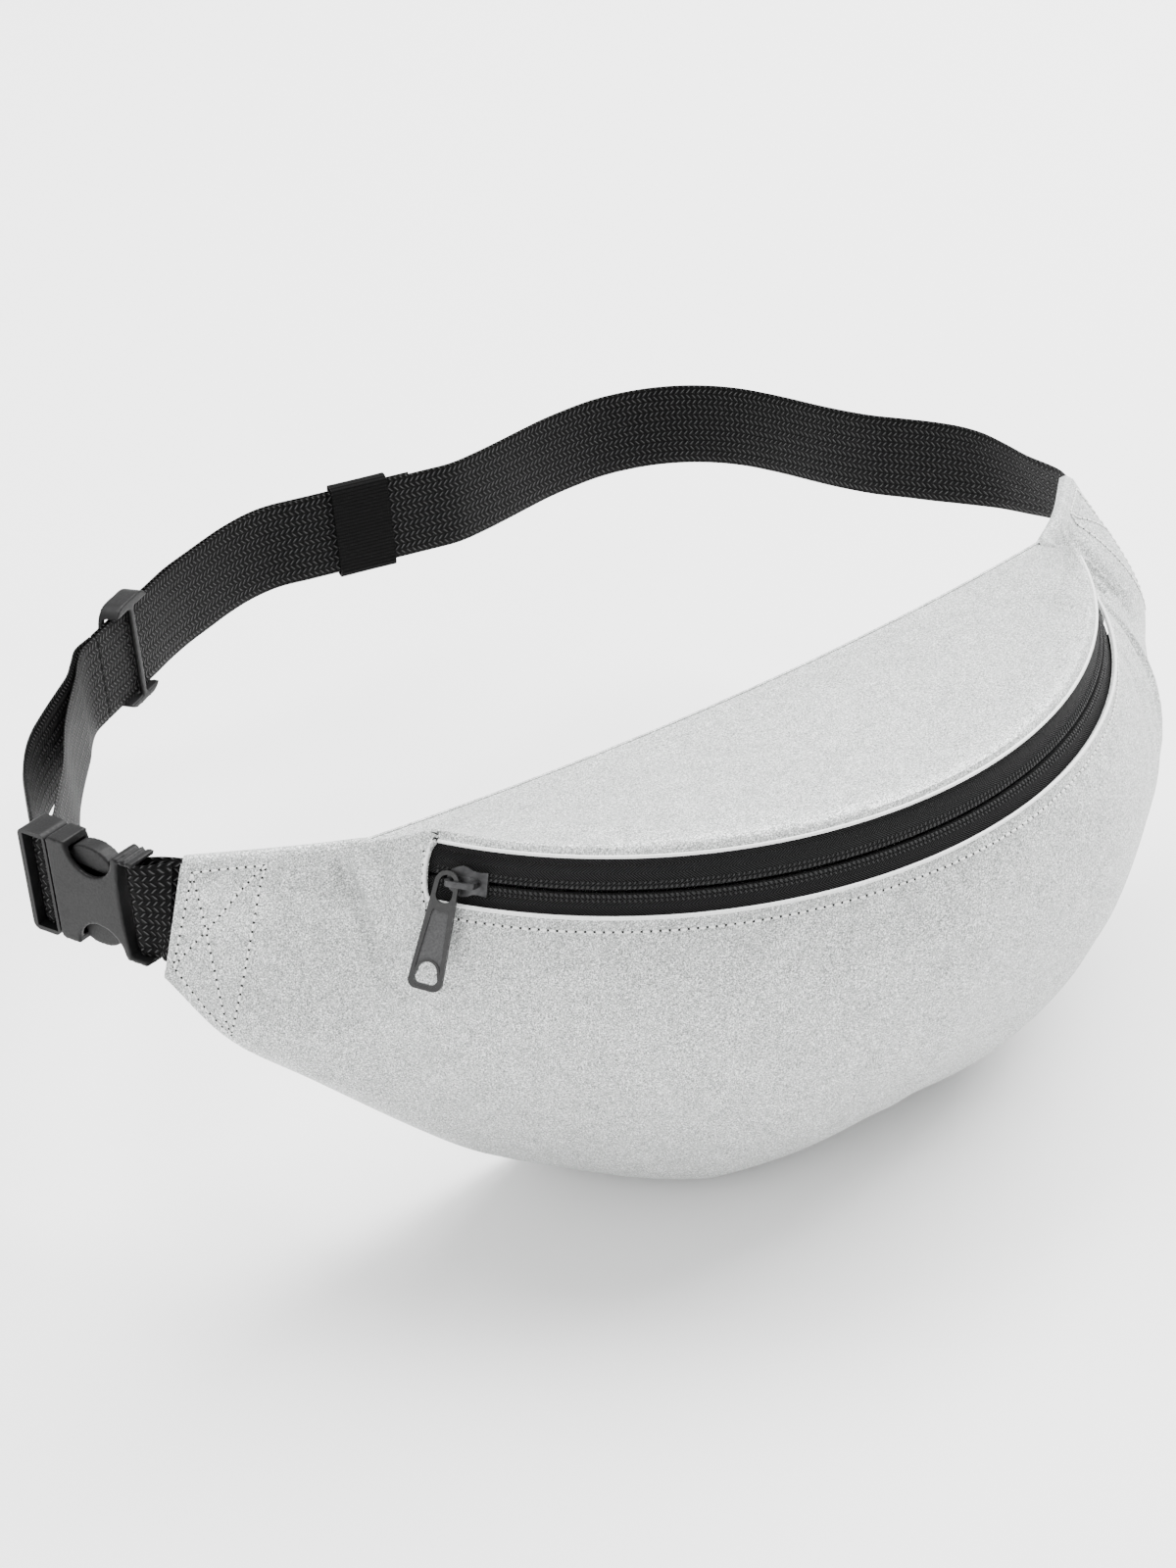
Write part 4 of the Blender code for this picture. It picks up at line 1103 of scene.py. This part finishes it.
def build_wing_folds(surface, dome):
    """The front cloth folded over each wing to meet the top panel's end and the back panel."""
    for name, side, end in (("wing_fold_left", -1.0, dome[0]), ("wing_fold_right", 1.0, dome[-1])):
        far = np.concatenate([end[2:], [back_top(side, 1.0 + i / 200) for i in range(201)]])
        grid = []
        for i in range(61):
            near = surface.read(side * (1.075 + 0.92 * i / 60), 0.6)[0]
            meet = far[np.linalg.norm(far - near, axis=1).argmin()]
            grid.append([near + (meet - near) * j / 10 + np.array([0.0, 0.0,
                                                                   1.3 * math.sin(math.pi * j / 10) - 0.1])
                         for j in range(11)])
        grid = np.array(grid)
        facing = math.copysign(1.0, grid_normals(grid)[30][5][2])
        sheet_piece(name, grid, -facing * FABRIC, reflective_cloth(), "pack")


def build_top_panel():
    """The domed panel behind the zip, with shallow puckers."""
    columns, rows = 150, 40
    end_clear = 0.996
    grid = []
    for i in range(columns):
        share = end_clear * (-1.0 + 2.0 * i / (columns - 1))
        end = ZIP_END[1 if share > 0 else -1]
        angle = end * share
        lip = zip_point(PANEL_OVER_TAPE, OPENING_UP, angle)
        front = zip_point(PANEL_OVER_TAPE, TAPE_UP + 1.6, angle)
        rise = front + 4.0 * unit(front - lip)
        edge = back_edge(share)
        handle = edge + (0.0, -0.3 * (edge[1] - front[1]), 6.0 * (1.0 - share**2) + 0.5)
        dome = [lip] + [bezier(front, rise, handle, edge, j / 39) for j in range(40)]
        grid.append(along_column(np.array(dome), rows)[0])
    grid = np.array(grid)
    normals = grid_normals(grid)
    for i in range(columns):
        x = grid[i][:, 0]
        y = grid[i][:, 1]
        share = np.linspace(0.0, 1.0, rows)
        calm = np.clip(share * 6.0, 0.0, 1.0) * np.clip((1.0 - share) * 6.0, 0.0, 1.0)
        waves = 0.8 * np.sin(x / 17.0 + y / 24.0) + 0.6 * np.sin(x / 29.0 - y / 15.0 + 0.7)
        pucker = 0.8 * np.exp(-(((x + 92.0 + 0.55 * (y + 10.0)) / 5.0) ** 2))
        pucker += 0.7 * np.exp(-(((x - 104.0 - 0.3 * y) / 4.0) ** 2))
        room = np.clip((126.0 - abs(x)) / 20.0, 0.0, 1.0)
        grid[i] += normals[i] * ((waves * 0.6 + pucker) * calm * room)[:, None]
    made = sheet_piece("top_panel_cloth", grid, -FABRIC, reflective_cloth(), "pack")
    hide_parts("top_panel")
    lip = [grid[i][0] for i in range(columns)]
    ups = [normals[i][2] for i in range(columns)]
    tube_piece("zip_fold_upper", [p + 0.1 * n for p, n in zip(lip, ups)], 0.55, cloth_edge_highlight(), "pack",
               ups=ups)
    return grid


def build_back_panel():
    rows, columns = 40, 161
    grid = []
    for i in range(columns):
        step = -2.0 + 4.0 * i / (columns - 1)
        side = math.copysign(1.0, step)
        foot = back_bottom(side, abs(step))
        top = back_top(side, abs(step))
        grid.append([top + (foot - top) * j / (rows - 1) for j in range(rows)])
    grid = np.array(grid)
    normals = grid_normals(grid)
    for i in range(columns):
        share = np.linspace(0.0, 1.0, rows)
        calm = np.clip(share * 5.0, 0.0, 1.0) * np.clip((1.0 - share) * 5.0, 0.0, 1.0)
        x, z = grid[i][:, 0], grid[i][:, 2]
        waves = 0.5 * np.sin(x / 23.0 + z / 31.0) + 0.35 * np.sin(x / 13.0 - z / 22.0)
        inner = np.clip((150.0 - abs(x)) / 30.0, 0.0, 1.0)
        grid[i] += normals[i] * (np.minimum(waves, 0.0) * calm * inner)[:, None]
    made = sheet_piece("back_panel_cloth", grid, -FABRIC, reflective_cloth(), "pack")
    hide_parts("back_panel")


# ---------------------------------------------------------------- zip


def zip_ribbon(name, low, high, node):
    """One side's tape, a flat band along the arc of the zip."""
    steps, rows = 220, 9
    first = -ZIP_END[-1] - math.radians(1.0)
    last = ZIP_END[1] + math.radians(1.0)
    points, uvs = [], []
    for face in (1.0, -1.0):
        for i in range(steps + 1):
            angle = first + (last - first) * i / steps
            edge = min(i, steps - i) == 0
            top = min(high, TAPE_END_UP) if edge else high
            for j in range(rows):
                up = low + (top - low) * j / (rows - 1)
                points.append(zip_point(face * TAPE_HALF_THICK, up, angle))
                uvs.append((angle * ZIP_RADIUS / 10.0, up / 10.0 + 5.0))
    faces = two_sided_faces(steps + 1, rows)
    made = put_piece(name, points, faces, [zip_tape()], "pack", uvs)
    made.data.set_sharp_from_angle(angle=math.radians(50))
    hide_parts(node)
    return made


def build_zip():
    zip_ribbon("zip_tape_upper_woven", CHAIN_HALF_GAP, TAPE_UP, "zip_tape_upper")
    zip_ribbon("zip_tape_lower_woven", -TAPE_DOWN, -CHAIN_HALF_GAP, "zip_tape_lower")
    for name, sign in (("zip_chain_stitch_upper", 1.0), ("zip_chain_stitch_lower", -1.0)):
        chain_stitches(name, sign)
    for node in ("zip_coil_upper", "zip_coil_lower", "seam_binding_top", "seam_binding_bottom"):
        dress(node, black_thread())


def chain_stitches(name, sign):
    """The sewing that holds one coil: a row of short raised loops beside the gap."""
    pitch = 1.45
    reach = ZIP_RADIUS * (ZIP_END[-1] + ZIP_END[1])
    count = int(reach / pitch)
    points, faces = [], []
    for i in range(count):
        angle = -ZIP_END[-1] + (ZIP_END[-1] + ZIP_END[1]) * (i + 0.5) / count
        lean = 0.35
        for low, high, wide in ((0.75, 1.75, 0.52), (2.15, 3.0, 0.36)):
            start = len(points)
            for share, swell in ((0.0, 0.35), (0.25, 0.9), (0.75, 0.9), (1.0, 0.35)):
                up = sign * (low + (high - low) * share)
                shift = (lean * share - lean / 2) / ZIP_RADIUS
                for j in range(6):
                    a = math.pi * j / 3
                    out = TAPE_HALF_THICK + 0.08 + 0.34 * swell * math.sin(a)
                    turn = angle + shift + wide * swell * math.cos(a) / ZIP_RADIUS
                    points.append(zip_point(out, up, turn))
            faces += grid_faces(4, 6, start, True)
            faces += [tuple(range(start, start + 6)), tuple(range(start + 18, start + 24))]
    return put_piece(name, points, faces, [black_thread()], "pack")


def dress(node, finish):
    """Gives a carried-over CAD node its material."""
    made = frame["nodes"][node]
    made.data.materials.clear()
    made.data.materials.append(finish)
    return made


def build_slider():
    place = slider_frame()
    low = TAPE_HALF_THICK + 0.4
    high = low + 1.1
    under = -TAPE_HALF_THICK - GAP - COIL_THICK - 0.4
    shield = [(-6.1, -1.5), (-5.2, -2.8), (-3.4, -3.9), (-1.6, -4.5), (0.2, -4.1), (1.6, -3.4), (3.2, -3.2),
              (5.9, -3.5), (5.9, 3.5), (3.2, 3.2), (1.6, 3.4), (0.2, 4.1), (-1.6, 4.5), (-3.4, 3.9),
              (-5.2, 2.8),
              (-6.1, 1.5)]
    body = solid_plate("zip_slider", place, shield, low, high)
    lower = solid_plate("slider_under", place, shield, under - 1.0, under)
    web = solid_box("slider_web", place, (-3.0, under - 0.5, -0.3), (3.5, low + 0.5, 0.3))
    crown = solid_plate("slider_crown", place, rounded(8.6, 3.0, 1.3, 4, (-0.6, 0.0)), high - 0.2,
                        high + 0.35)
    reach, leg, depth, bar = 4.6, 1.4, 0.8, 1.1
    rise = high + BRIDGE_HEIGHT
    arch = []
    for i in range(9):
        a = math.pi - math.pi / 2 * i / 8
        arch.append((-reach + 2.2 + 2.2 * math.cos(a), rise - 1.1 + 2.2 * math.sin(a)))
    for i in range(9):
        a = math.pi / 2 - math.pi / 2 * i / 8
        arch.append((reach - 2.2 + 2.2 * math.cos(a), rise - 1.1 + 2.2 * math.sin(a)))
    arch += [(reach, high - 0.4), (reach - leg, high - 0.4), (reach - leg, rise - 0.8),
             (reach - leg - 0.8, rise)]
    arch += [(-reach + leg + 0.8, rise), (-reach + leg, rise - 0.8), (-reach + leg, high - 0.4),
             (-reach, high - 0.4)]
    arch = [(x + BRIDGE_SHIFT, y) for x, y in arch]
    side = Frame(place.origin, place.axes[0], place.axes[2], place.axes[1])
    bridge = solid_plate("slider_bridge", side, arch, -depth, depth)
    join(body, lower, web, crown, bridge)
    moulded(body, gunmetal(), "slider", 0.28, 3)
    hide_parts("zip_slider_body")


def build_pull():
    place = pull_frame()
    half = PULL_THICK / 2
    low = 1.9 - PULL_LENGTH
    centre = -0.1
    tab = solid_plate("zip_pull", place, tapered(PULL_TOP_WIDTH, PULL_WIDTH, 1.9, low, 2.6, centre, 9),
                      -half, half)
    ring = solid_plate("ring", place, tapered(4.6, 4.9, 0.7, -7.2, 2.2, centre, 8), -2.0, 2.0)
    hole = solid_plate("hole", place, finger_hole(low, 0.0), -2.1, 2.1)
    cut(tab, ring, hole)
    for sign in (1.0, -1.0):
        near, far = sorted((sign * (half - 0.42), sign * 2.0))
        recess = solid_plate("recess", place, tapered(5.1, 8.0, -8.3, low + 1.0, 1.8, centre, 9), near, far)
        keep = solid_plate("keep", place, finger_hole(low, 0.75), near - 1.0, far + 1.0)
        scoop = solid_plate("scoop", place, disc(3.2, (centre, -6.6), 32), near - 1.1, far + 1.1)
        cut(recess, keep, scoop)
        cut(tab, recess)
    moulded(tab, pull_black(), "pull", 0.16, 2)
    tab.data.materials.append(pull_face())
    out = Vector(place.axes[1])
    origin = Vector(place.origin * MM)
    for face in tab.data.polygons:
        height = abs((face.center - origin).dot(out)) / MM
        flat = abs(face.normal.dot(out)) > 0.98
        if flat and abs(height - (half - 0.42)) < 0.05:
            face.material_index = 1
    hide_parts("zip_pull_tab")


def finger_hole(low, grow):
    """The hole near the pull's end: an arched top and round lower corners."""
    return tapered(6.0 + 2 * grow, 7.0 + 2 * grow, low + 8.0 + grow, low + 1.8 - grow, 1.7 + grow * 0.6,
                   -0.1, 8)


# ---------------------------------------------------------------- belt


def strap_path():
    """Centre line and width directions of the strap sewn in the right wing."""
    tip, tip_up = wing_web(1.0, 2.0)
    inside, inside_up = wing_web(1.0, 1.9)
    path = [inside, (inside + tip) / 2, tip]
    ups = [inside_up, unit(inside_up + tip_up), tip_up]
    for i, place in enumerate(smooth_path(main_places(), 11.0)):
        path.append(belt_point(place, droop(place)))
        settle = min(1.0, (i + 0.4) / 4.0)
        ups.append(tip_up * (1.0 - settle) + BELT_UP * settle)
    return path, ups


def loop_path():
    """Centre line from the adjuster to the buckle's bar and back."""
    bar_x, bend = -17.0, WEB / 2 + 1.75
    inner = [on_line(ADJUSTER_AT, ADJUSTER_HEADING, 20.6), on_line(ADJUSTER_AT, ADJUSTER_HEADING, 26.0),
             (-139.0, 119.0), (-157.0, 94.0), (-171.0, 71.0), (-183.0, 54.0)]
    outer = [(-188.5, 62.0), (-180.0, 79.0), (-169.0, 95.0), (-153.0, 111.0), (-139.0, 124.0),
             on_line(ADJUSTER_AT, ADJUSTER_HEADING, 26.0, LAYER + 0.6),
             on_line(ADJUSTER_AT, ADJUSTER_HEADING, 20.9, LAYER)]
    slack_out = [buckle_place(-19.4, bend - 0.3), buckle_place(-21.8, bend - 1.9)]
    turn = []
    for i in range(9):
        a = -math.pi / 2 + math.pi * i / 8
        turn.append(buckle_place(bar_x + bend * math.cos(a), bend * math.sin(a)))
    path = smooth_path(inner + turn[:1], 9.0) + turn[1:] + slack_out[:1]
    path += smooth_path(slack_out[1:] + outer, 9.0)
    return [belt_point(place, loop_rise(place)) for place in path]


def fixed_path():
    """Centre line and width directions from the left wing round the socket's bar."""
    tip, tip_up = wing_web(-1.0, 2.0)
    inside, inside_up = wing_web(-1.0, 1.9)
    bar_x, bend = 18.6, WEB / 2 + 1.75
    path = [inside, (inside + tip) / 2, tip]
    ups = [inside_up, unit(inside_up + tip_up), tip_up]
    for i in range(9):
        a = -math.pi / 2 - math.pi * i / 8
        path.append(belt_point(buckle_place(bar_x + bend * math.cos(a), bend * math.sin(a))))
        ups.append(BELT_UP)
    outward = np.array(WING_NORMAL) * (-1.0, 1.0, 1.0)
    end = tip + outward * (SANDWICH + FABRIC) / 2
    last = path[-1]
    path.append(last + (end - last) * 0.4)
    path.append(end + 0.8 * unit(last - end))
    ups += [BELT_UP, unit(tip_up + BELT_UP)]
    return path, ups


def build_belt():
    path, ups = strap_path()
    main = webbing_piece("waist_strap_webbing", path, ups, webbing(), "pack")
    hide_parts("waist_strap")
    path = [belt_point(place, droop(place)) for place in tail_places()]
    tail = webbing_piece("strap_tail_webbing", path, [BELT_UP] * len(path), webbing(), "pack")
    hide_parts("strap_tail")
    path, ups = fixed_path()
    fixed = webbing_piece("buckle_webbing_woven", path, ups, webbing(), "pack", spacing=1.0)
    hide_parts("buckle_webbing")
    path = loop_path()
    loop = webbing_piece("strap_loop_webbing", path, [BELT_UP] * len(path), webbing(), None,
                         spacing=1.4)
    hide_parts("strap_loop")
    end = belt_point(buckle_place(-26.0, 0.0)) * MM
    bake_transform(loop)


def build_buckle():
    place = buckle_frame()
    half_y, half_z = BUCKLE_THICK / 2, BUCKLE_HEIGHT / 2
    edge = []
    for i in range(13):
        z = -half_z + 2.0 * half_z * i / 12
        edge.append((20.4 + 1.6 * abs(z / half_z) ** 3.0, z))
    outline = [(-12.2, -half_z + 1.0), (-11.2, -half_z)] + edge + [(-11.2, half_z), (-12.2, half_z - 1.0)]
    socket = solid_plate("buckle_socket_shell", place, outline, -half_y, half_y)
    cavity = solid_box("cavity", place, (-13.2, -3.4, -14.6), (12.4, 3.4, 14.6))
    notches = [solid_plate("notch", place, disc(9.3, (4.4, s * (half_z + 0.4)), 48), -9.0,
                           9.0) for s in (1, -1)]
    hollow = []
    for i in range(13):
        z = -15.5 + 31.0 * i / 12
        hollow.append((14.6 + 1.2 * (z / 15.5) ** 2, z))
    room = solid_plate("room", place, hollow + [(25.0, 15.5), (25.0, -15.5)], -half_y - 1, half_y + 1)
    cut(socket, cavity, *notches, room)
    bar = solid_box("bar", place, (17.6, -1.0, -16.2), (19.6, 1.0, 16.2))
    join(socket, bar)
    grooves = [solid_box("groove", place, (15.9 + 2.4 * k, -half_y - 1, half_z - 1.0),
                         (17.0 + 2.4 * k, half_y + 1, half_z + 2.0)) for k in range(2)]
    cut(socket, *grooves)
    softened(socket, moulded_plastic(), "pack")
    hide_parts("buckle_socket")

    outline = rounded(11.0, BUCKLE_HEIGHT, 2.4, 6, (-18.0, 0.0))
    tongue = solid_plate("buckle_tongue_frame", place, outline, -half_y, half_y)
    window = solid_box("window", place, (-21.6, -half_y - 1, -15.5), (-13.6, half_y + 1, 15.5))
    under = solid_box("under", place, (-25.0, -half_y - 2, -15.4), (-21.0, 1.6, 15.4))
    cut(tongue, window, under)
    bar = solid_box("bar", place, (-18.0, -1.0, -16.2), (-16.0, 1.0, 16.2))
    neck = solid_box("neck", place, (-13.1, -3.0, -14.2), (-9.6, 3.0, 14.2))
    guide = solid_plate("guide", place, [(-10.5, -3.0), (8.0, -2.0), (8.0, 2.0), (-10.5, 3.0)], -2.4, 2.4)
    join(tongue, bar, neck, guide)
    moulded(tongue, moulded_plastic(), "tongue", 0.7, 3)
    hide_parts("buckle_tongue")

    for name, sign in (("upper", 1.0), ("lower", -1.0)):
        arm = [(-9.3, 8.6), (-2.6, 9.6), (9.0, 8.6), (11.0, 9.6), (11.6, 11.2), (10.0, 13.6),
               (8.6, 14.7), (7.0, 15.6),
               (5.0, 16.2), (3.0, 16.4), (1.0, 16.4), (-0.5, 16.2), (-2.0, 15.8), (-3.2, 15.2), (-4.0, 14.2),
               (-3.6, 12.2), (-9.3, 11.4)]
        prong = solid_plate("buckle_prong_" + name + "_arm", place, [(x, sign * z) for x, z in arm],
                            -2.7, 2.7)
        softened(prong, moulded_plastic(), "prong_" + name)
        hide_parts("buckle_prong_" + name)


def build_adjuster():
    place = belt_frame(ADJUSTER_AT, ADJUSTER_HEADING)
    place.origin = place.origin + ADJUSTER_DROOP * BELT_UP
    middle = LAYER / 2
    centre = (0.0, ADJUSTER_RISE / 2)
    body = solid_plate("strap_adjuster_slide", place,
                       rounded(ADJUSTER_LENGTH, ADJUSTER_HEIGHT, 7.0, 10, centre),
                       middle - 3.6, middle + 3.6)
    window = solid_plate("window", place, rounded(18.0, 31.2, 1.5, 4), middle - 5.0, middle + 5.0)
    inner = [solid_box("inner", place, (x, middle - 5.0, -15.6),
                       (x + 6.0, middle + 1.75, 15.6)) for x in (-14.0, 8.0)]
    cut(body, window, *inner)
    bar = solid_box("bar", place, (-1.3, middle - 3.5, -16.5), (1.3, middle - 1.85, 16.5))
    join(body, bar)
    softened(body, moulded_plastic(), "adjuster", 0.4, 12)
    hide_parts("strap_adjuster")


def build_keeper():
    """A ribbed elastic band, a little pinched in the middle."""
    place = belt_frame(KEEPER_AT, KEEPER_HEADING)
    middle = LAYER / 2
    half = KEEPER_LENGTH / 2
    corner = 2.3
    points, uvs = [], []
    around = []
    for k, (sy, sz) in enumerate(((1, 1), (-1, 1), (-1, -1), (1, -1))):
        for i in range(7):
            a = math.pi / 2 * (k + i / 6)
            around.append((sy * (2.9 - corner) + corner * math.cos(a),
                           sz * (17.0 - corner) + corner * math.sin(a)))
    lengths = np.concatenate([[0.0], np.cumsum([math.dist(p, q) for p, q in zip(around, around[1:])])])
    along = 22
    ring = len(around)
    for i in range(along + 1):
        x = -half + KEEPER_LENGTH * i / along
        waist = 0.12 * (1.0 - (x / half) ** 2)
        for (y, z), mark in zip(around, lengths):
            points.append(place.point(x, middle + y * (1.0 - waist * 0.3), z * (1.0 - waist * 0.02)))
            uvs.append((mark / 10.0, x / 10.0))
    outer = len(points)
    for i in range(along + 1):
        x = -half + KEEPER_LENGTH * i / along
        for (y, z), mark in zip(around, lengths):
            points.append(place.point(x, middle + y * 0.66, z * 0.945))
            uvs.append((mark / 10.0, x / 10.0))
    faces = grid_faces(along + 1, ring, 0, True) + grid_faces(along + 1, ring, outer, True)
    for i in (0, along):
        for j in range(ring):
            k = (j + 1) % ring
            faces.append((i * ring + j, i * ring + k, outer + i * ring + k, outer + i * ring + j))
    band = put_piece("strap_keeper_band", points, faces, [elastic()], "keeper", uvs)
    band.data.set_sharp_from_angle(angle=math.radians(55))
    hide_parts("strap_keeper")


# ---------------------------------------------------------------- stage


def build_stage():
    mesh = bpy.data.meshes.new("floor")
    reach = 6.0
    mesh.from_pydata([(-reach, -reach, 0.0), (reach, -reach, 0.0), (reach, reach, 0.0),
                      (-reach, reach, 0.0)], [],
                     [(0, 1, 2, 3)])
    floor = bpy.data.objects.new("floor", mesh)
    bpy.context.scene.collection.objects.link(floor)
    made = bpy.data.materials.new("floor")
    made.use_nodes = True
    made.node_tree.nodes["Principled BSDF"].inputs["Base Color"].default_value = (0.97, 0.97, 0.97, 1.0)
    made.node_tree.nodes["Principled BSDF"].inputs["Roughness"].default_value = 0.9
    made.node_tree.nodes["Principled BSDF"].inputs["Specular IOR Level"].default_value = 0.1
    mesh.materials.append(made)
    world = bpy.data.worlds.new("studio")
    world.use_nodes = True
    world.node_tree.nodes["Background"].inputs["Color"].default_value = (1.0, 1.0, 1.0, 1.0)
    world.node_tree.nodes["Background"].inputs["Strength"].default_value = 1.15
    bpy.context.scene.world = world
    for name, at, size, power in (("key", (1.3, 0.2, 1.9), 1.8, 150.0),
                                  ("fill", (-1.7, -0.5, 1.2), 1.0, 16.0),
                                  ("top", (-0.2, 0.9, 2.2), 1.2, 60.0)):
        light = bpy.data.lights.new(name, "AREA")
        light.size = size
        light.energy = power
        lamp = bpy.data.objects.new(name, light)
        lamp.location = at
        aim = Vector((0.0, 0.03, 0.08)) - Vector(at)
        lamp.rotation_euler = aim.to_track_quat("-Z", "Y").to_euler()
        bpy.context.scene.collection.objects.link(lamp)


# The camera values come from the same fit as the zip.
def build_camera():
    azimuth, elevation, distance = math.radians(-37.84), math.radians(35.38), 1.0451
    target = Vector((-0.0524, 0.030, 0.1222))
    back = Vector((math.sin(azimuth) * math.cos(elevation), -math.cos(azimuth) * math.cos(elevation),
                   math.sin(elevation)))
    lens = bpy.data.cameras.new("camera")
    lens.lens = 81.0
    lens.sensor_width = 36.0
    lens.clip_start = 0.01
    camera = bpy.data.objects.new("camera", lens)
    camera.location = target + distance * back
    camera.rotation_euler = back.to_track_quat("Z", "Y").to_euler()
    bpy.context.scene.collection.objects.link(camera)
    bpy.context.scene.camera = camera


build_camera()
build_stage()
panel = build_front_panel()
build_front_trim(panel)
dome = build_top_panel()
build_wing_folds(panel, dome)
build_back_panel()
build_zip()
build_slider()
build_pull()
build_belt()
build_buckle()
build_adjuster()
build_keeper()
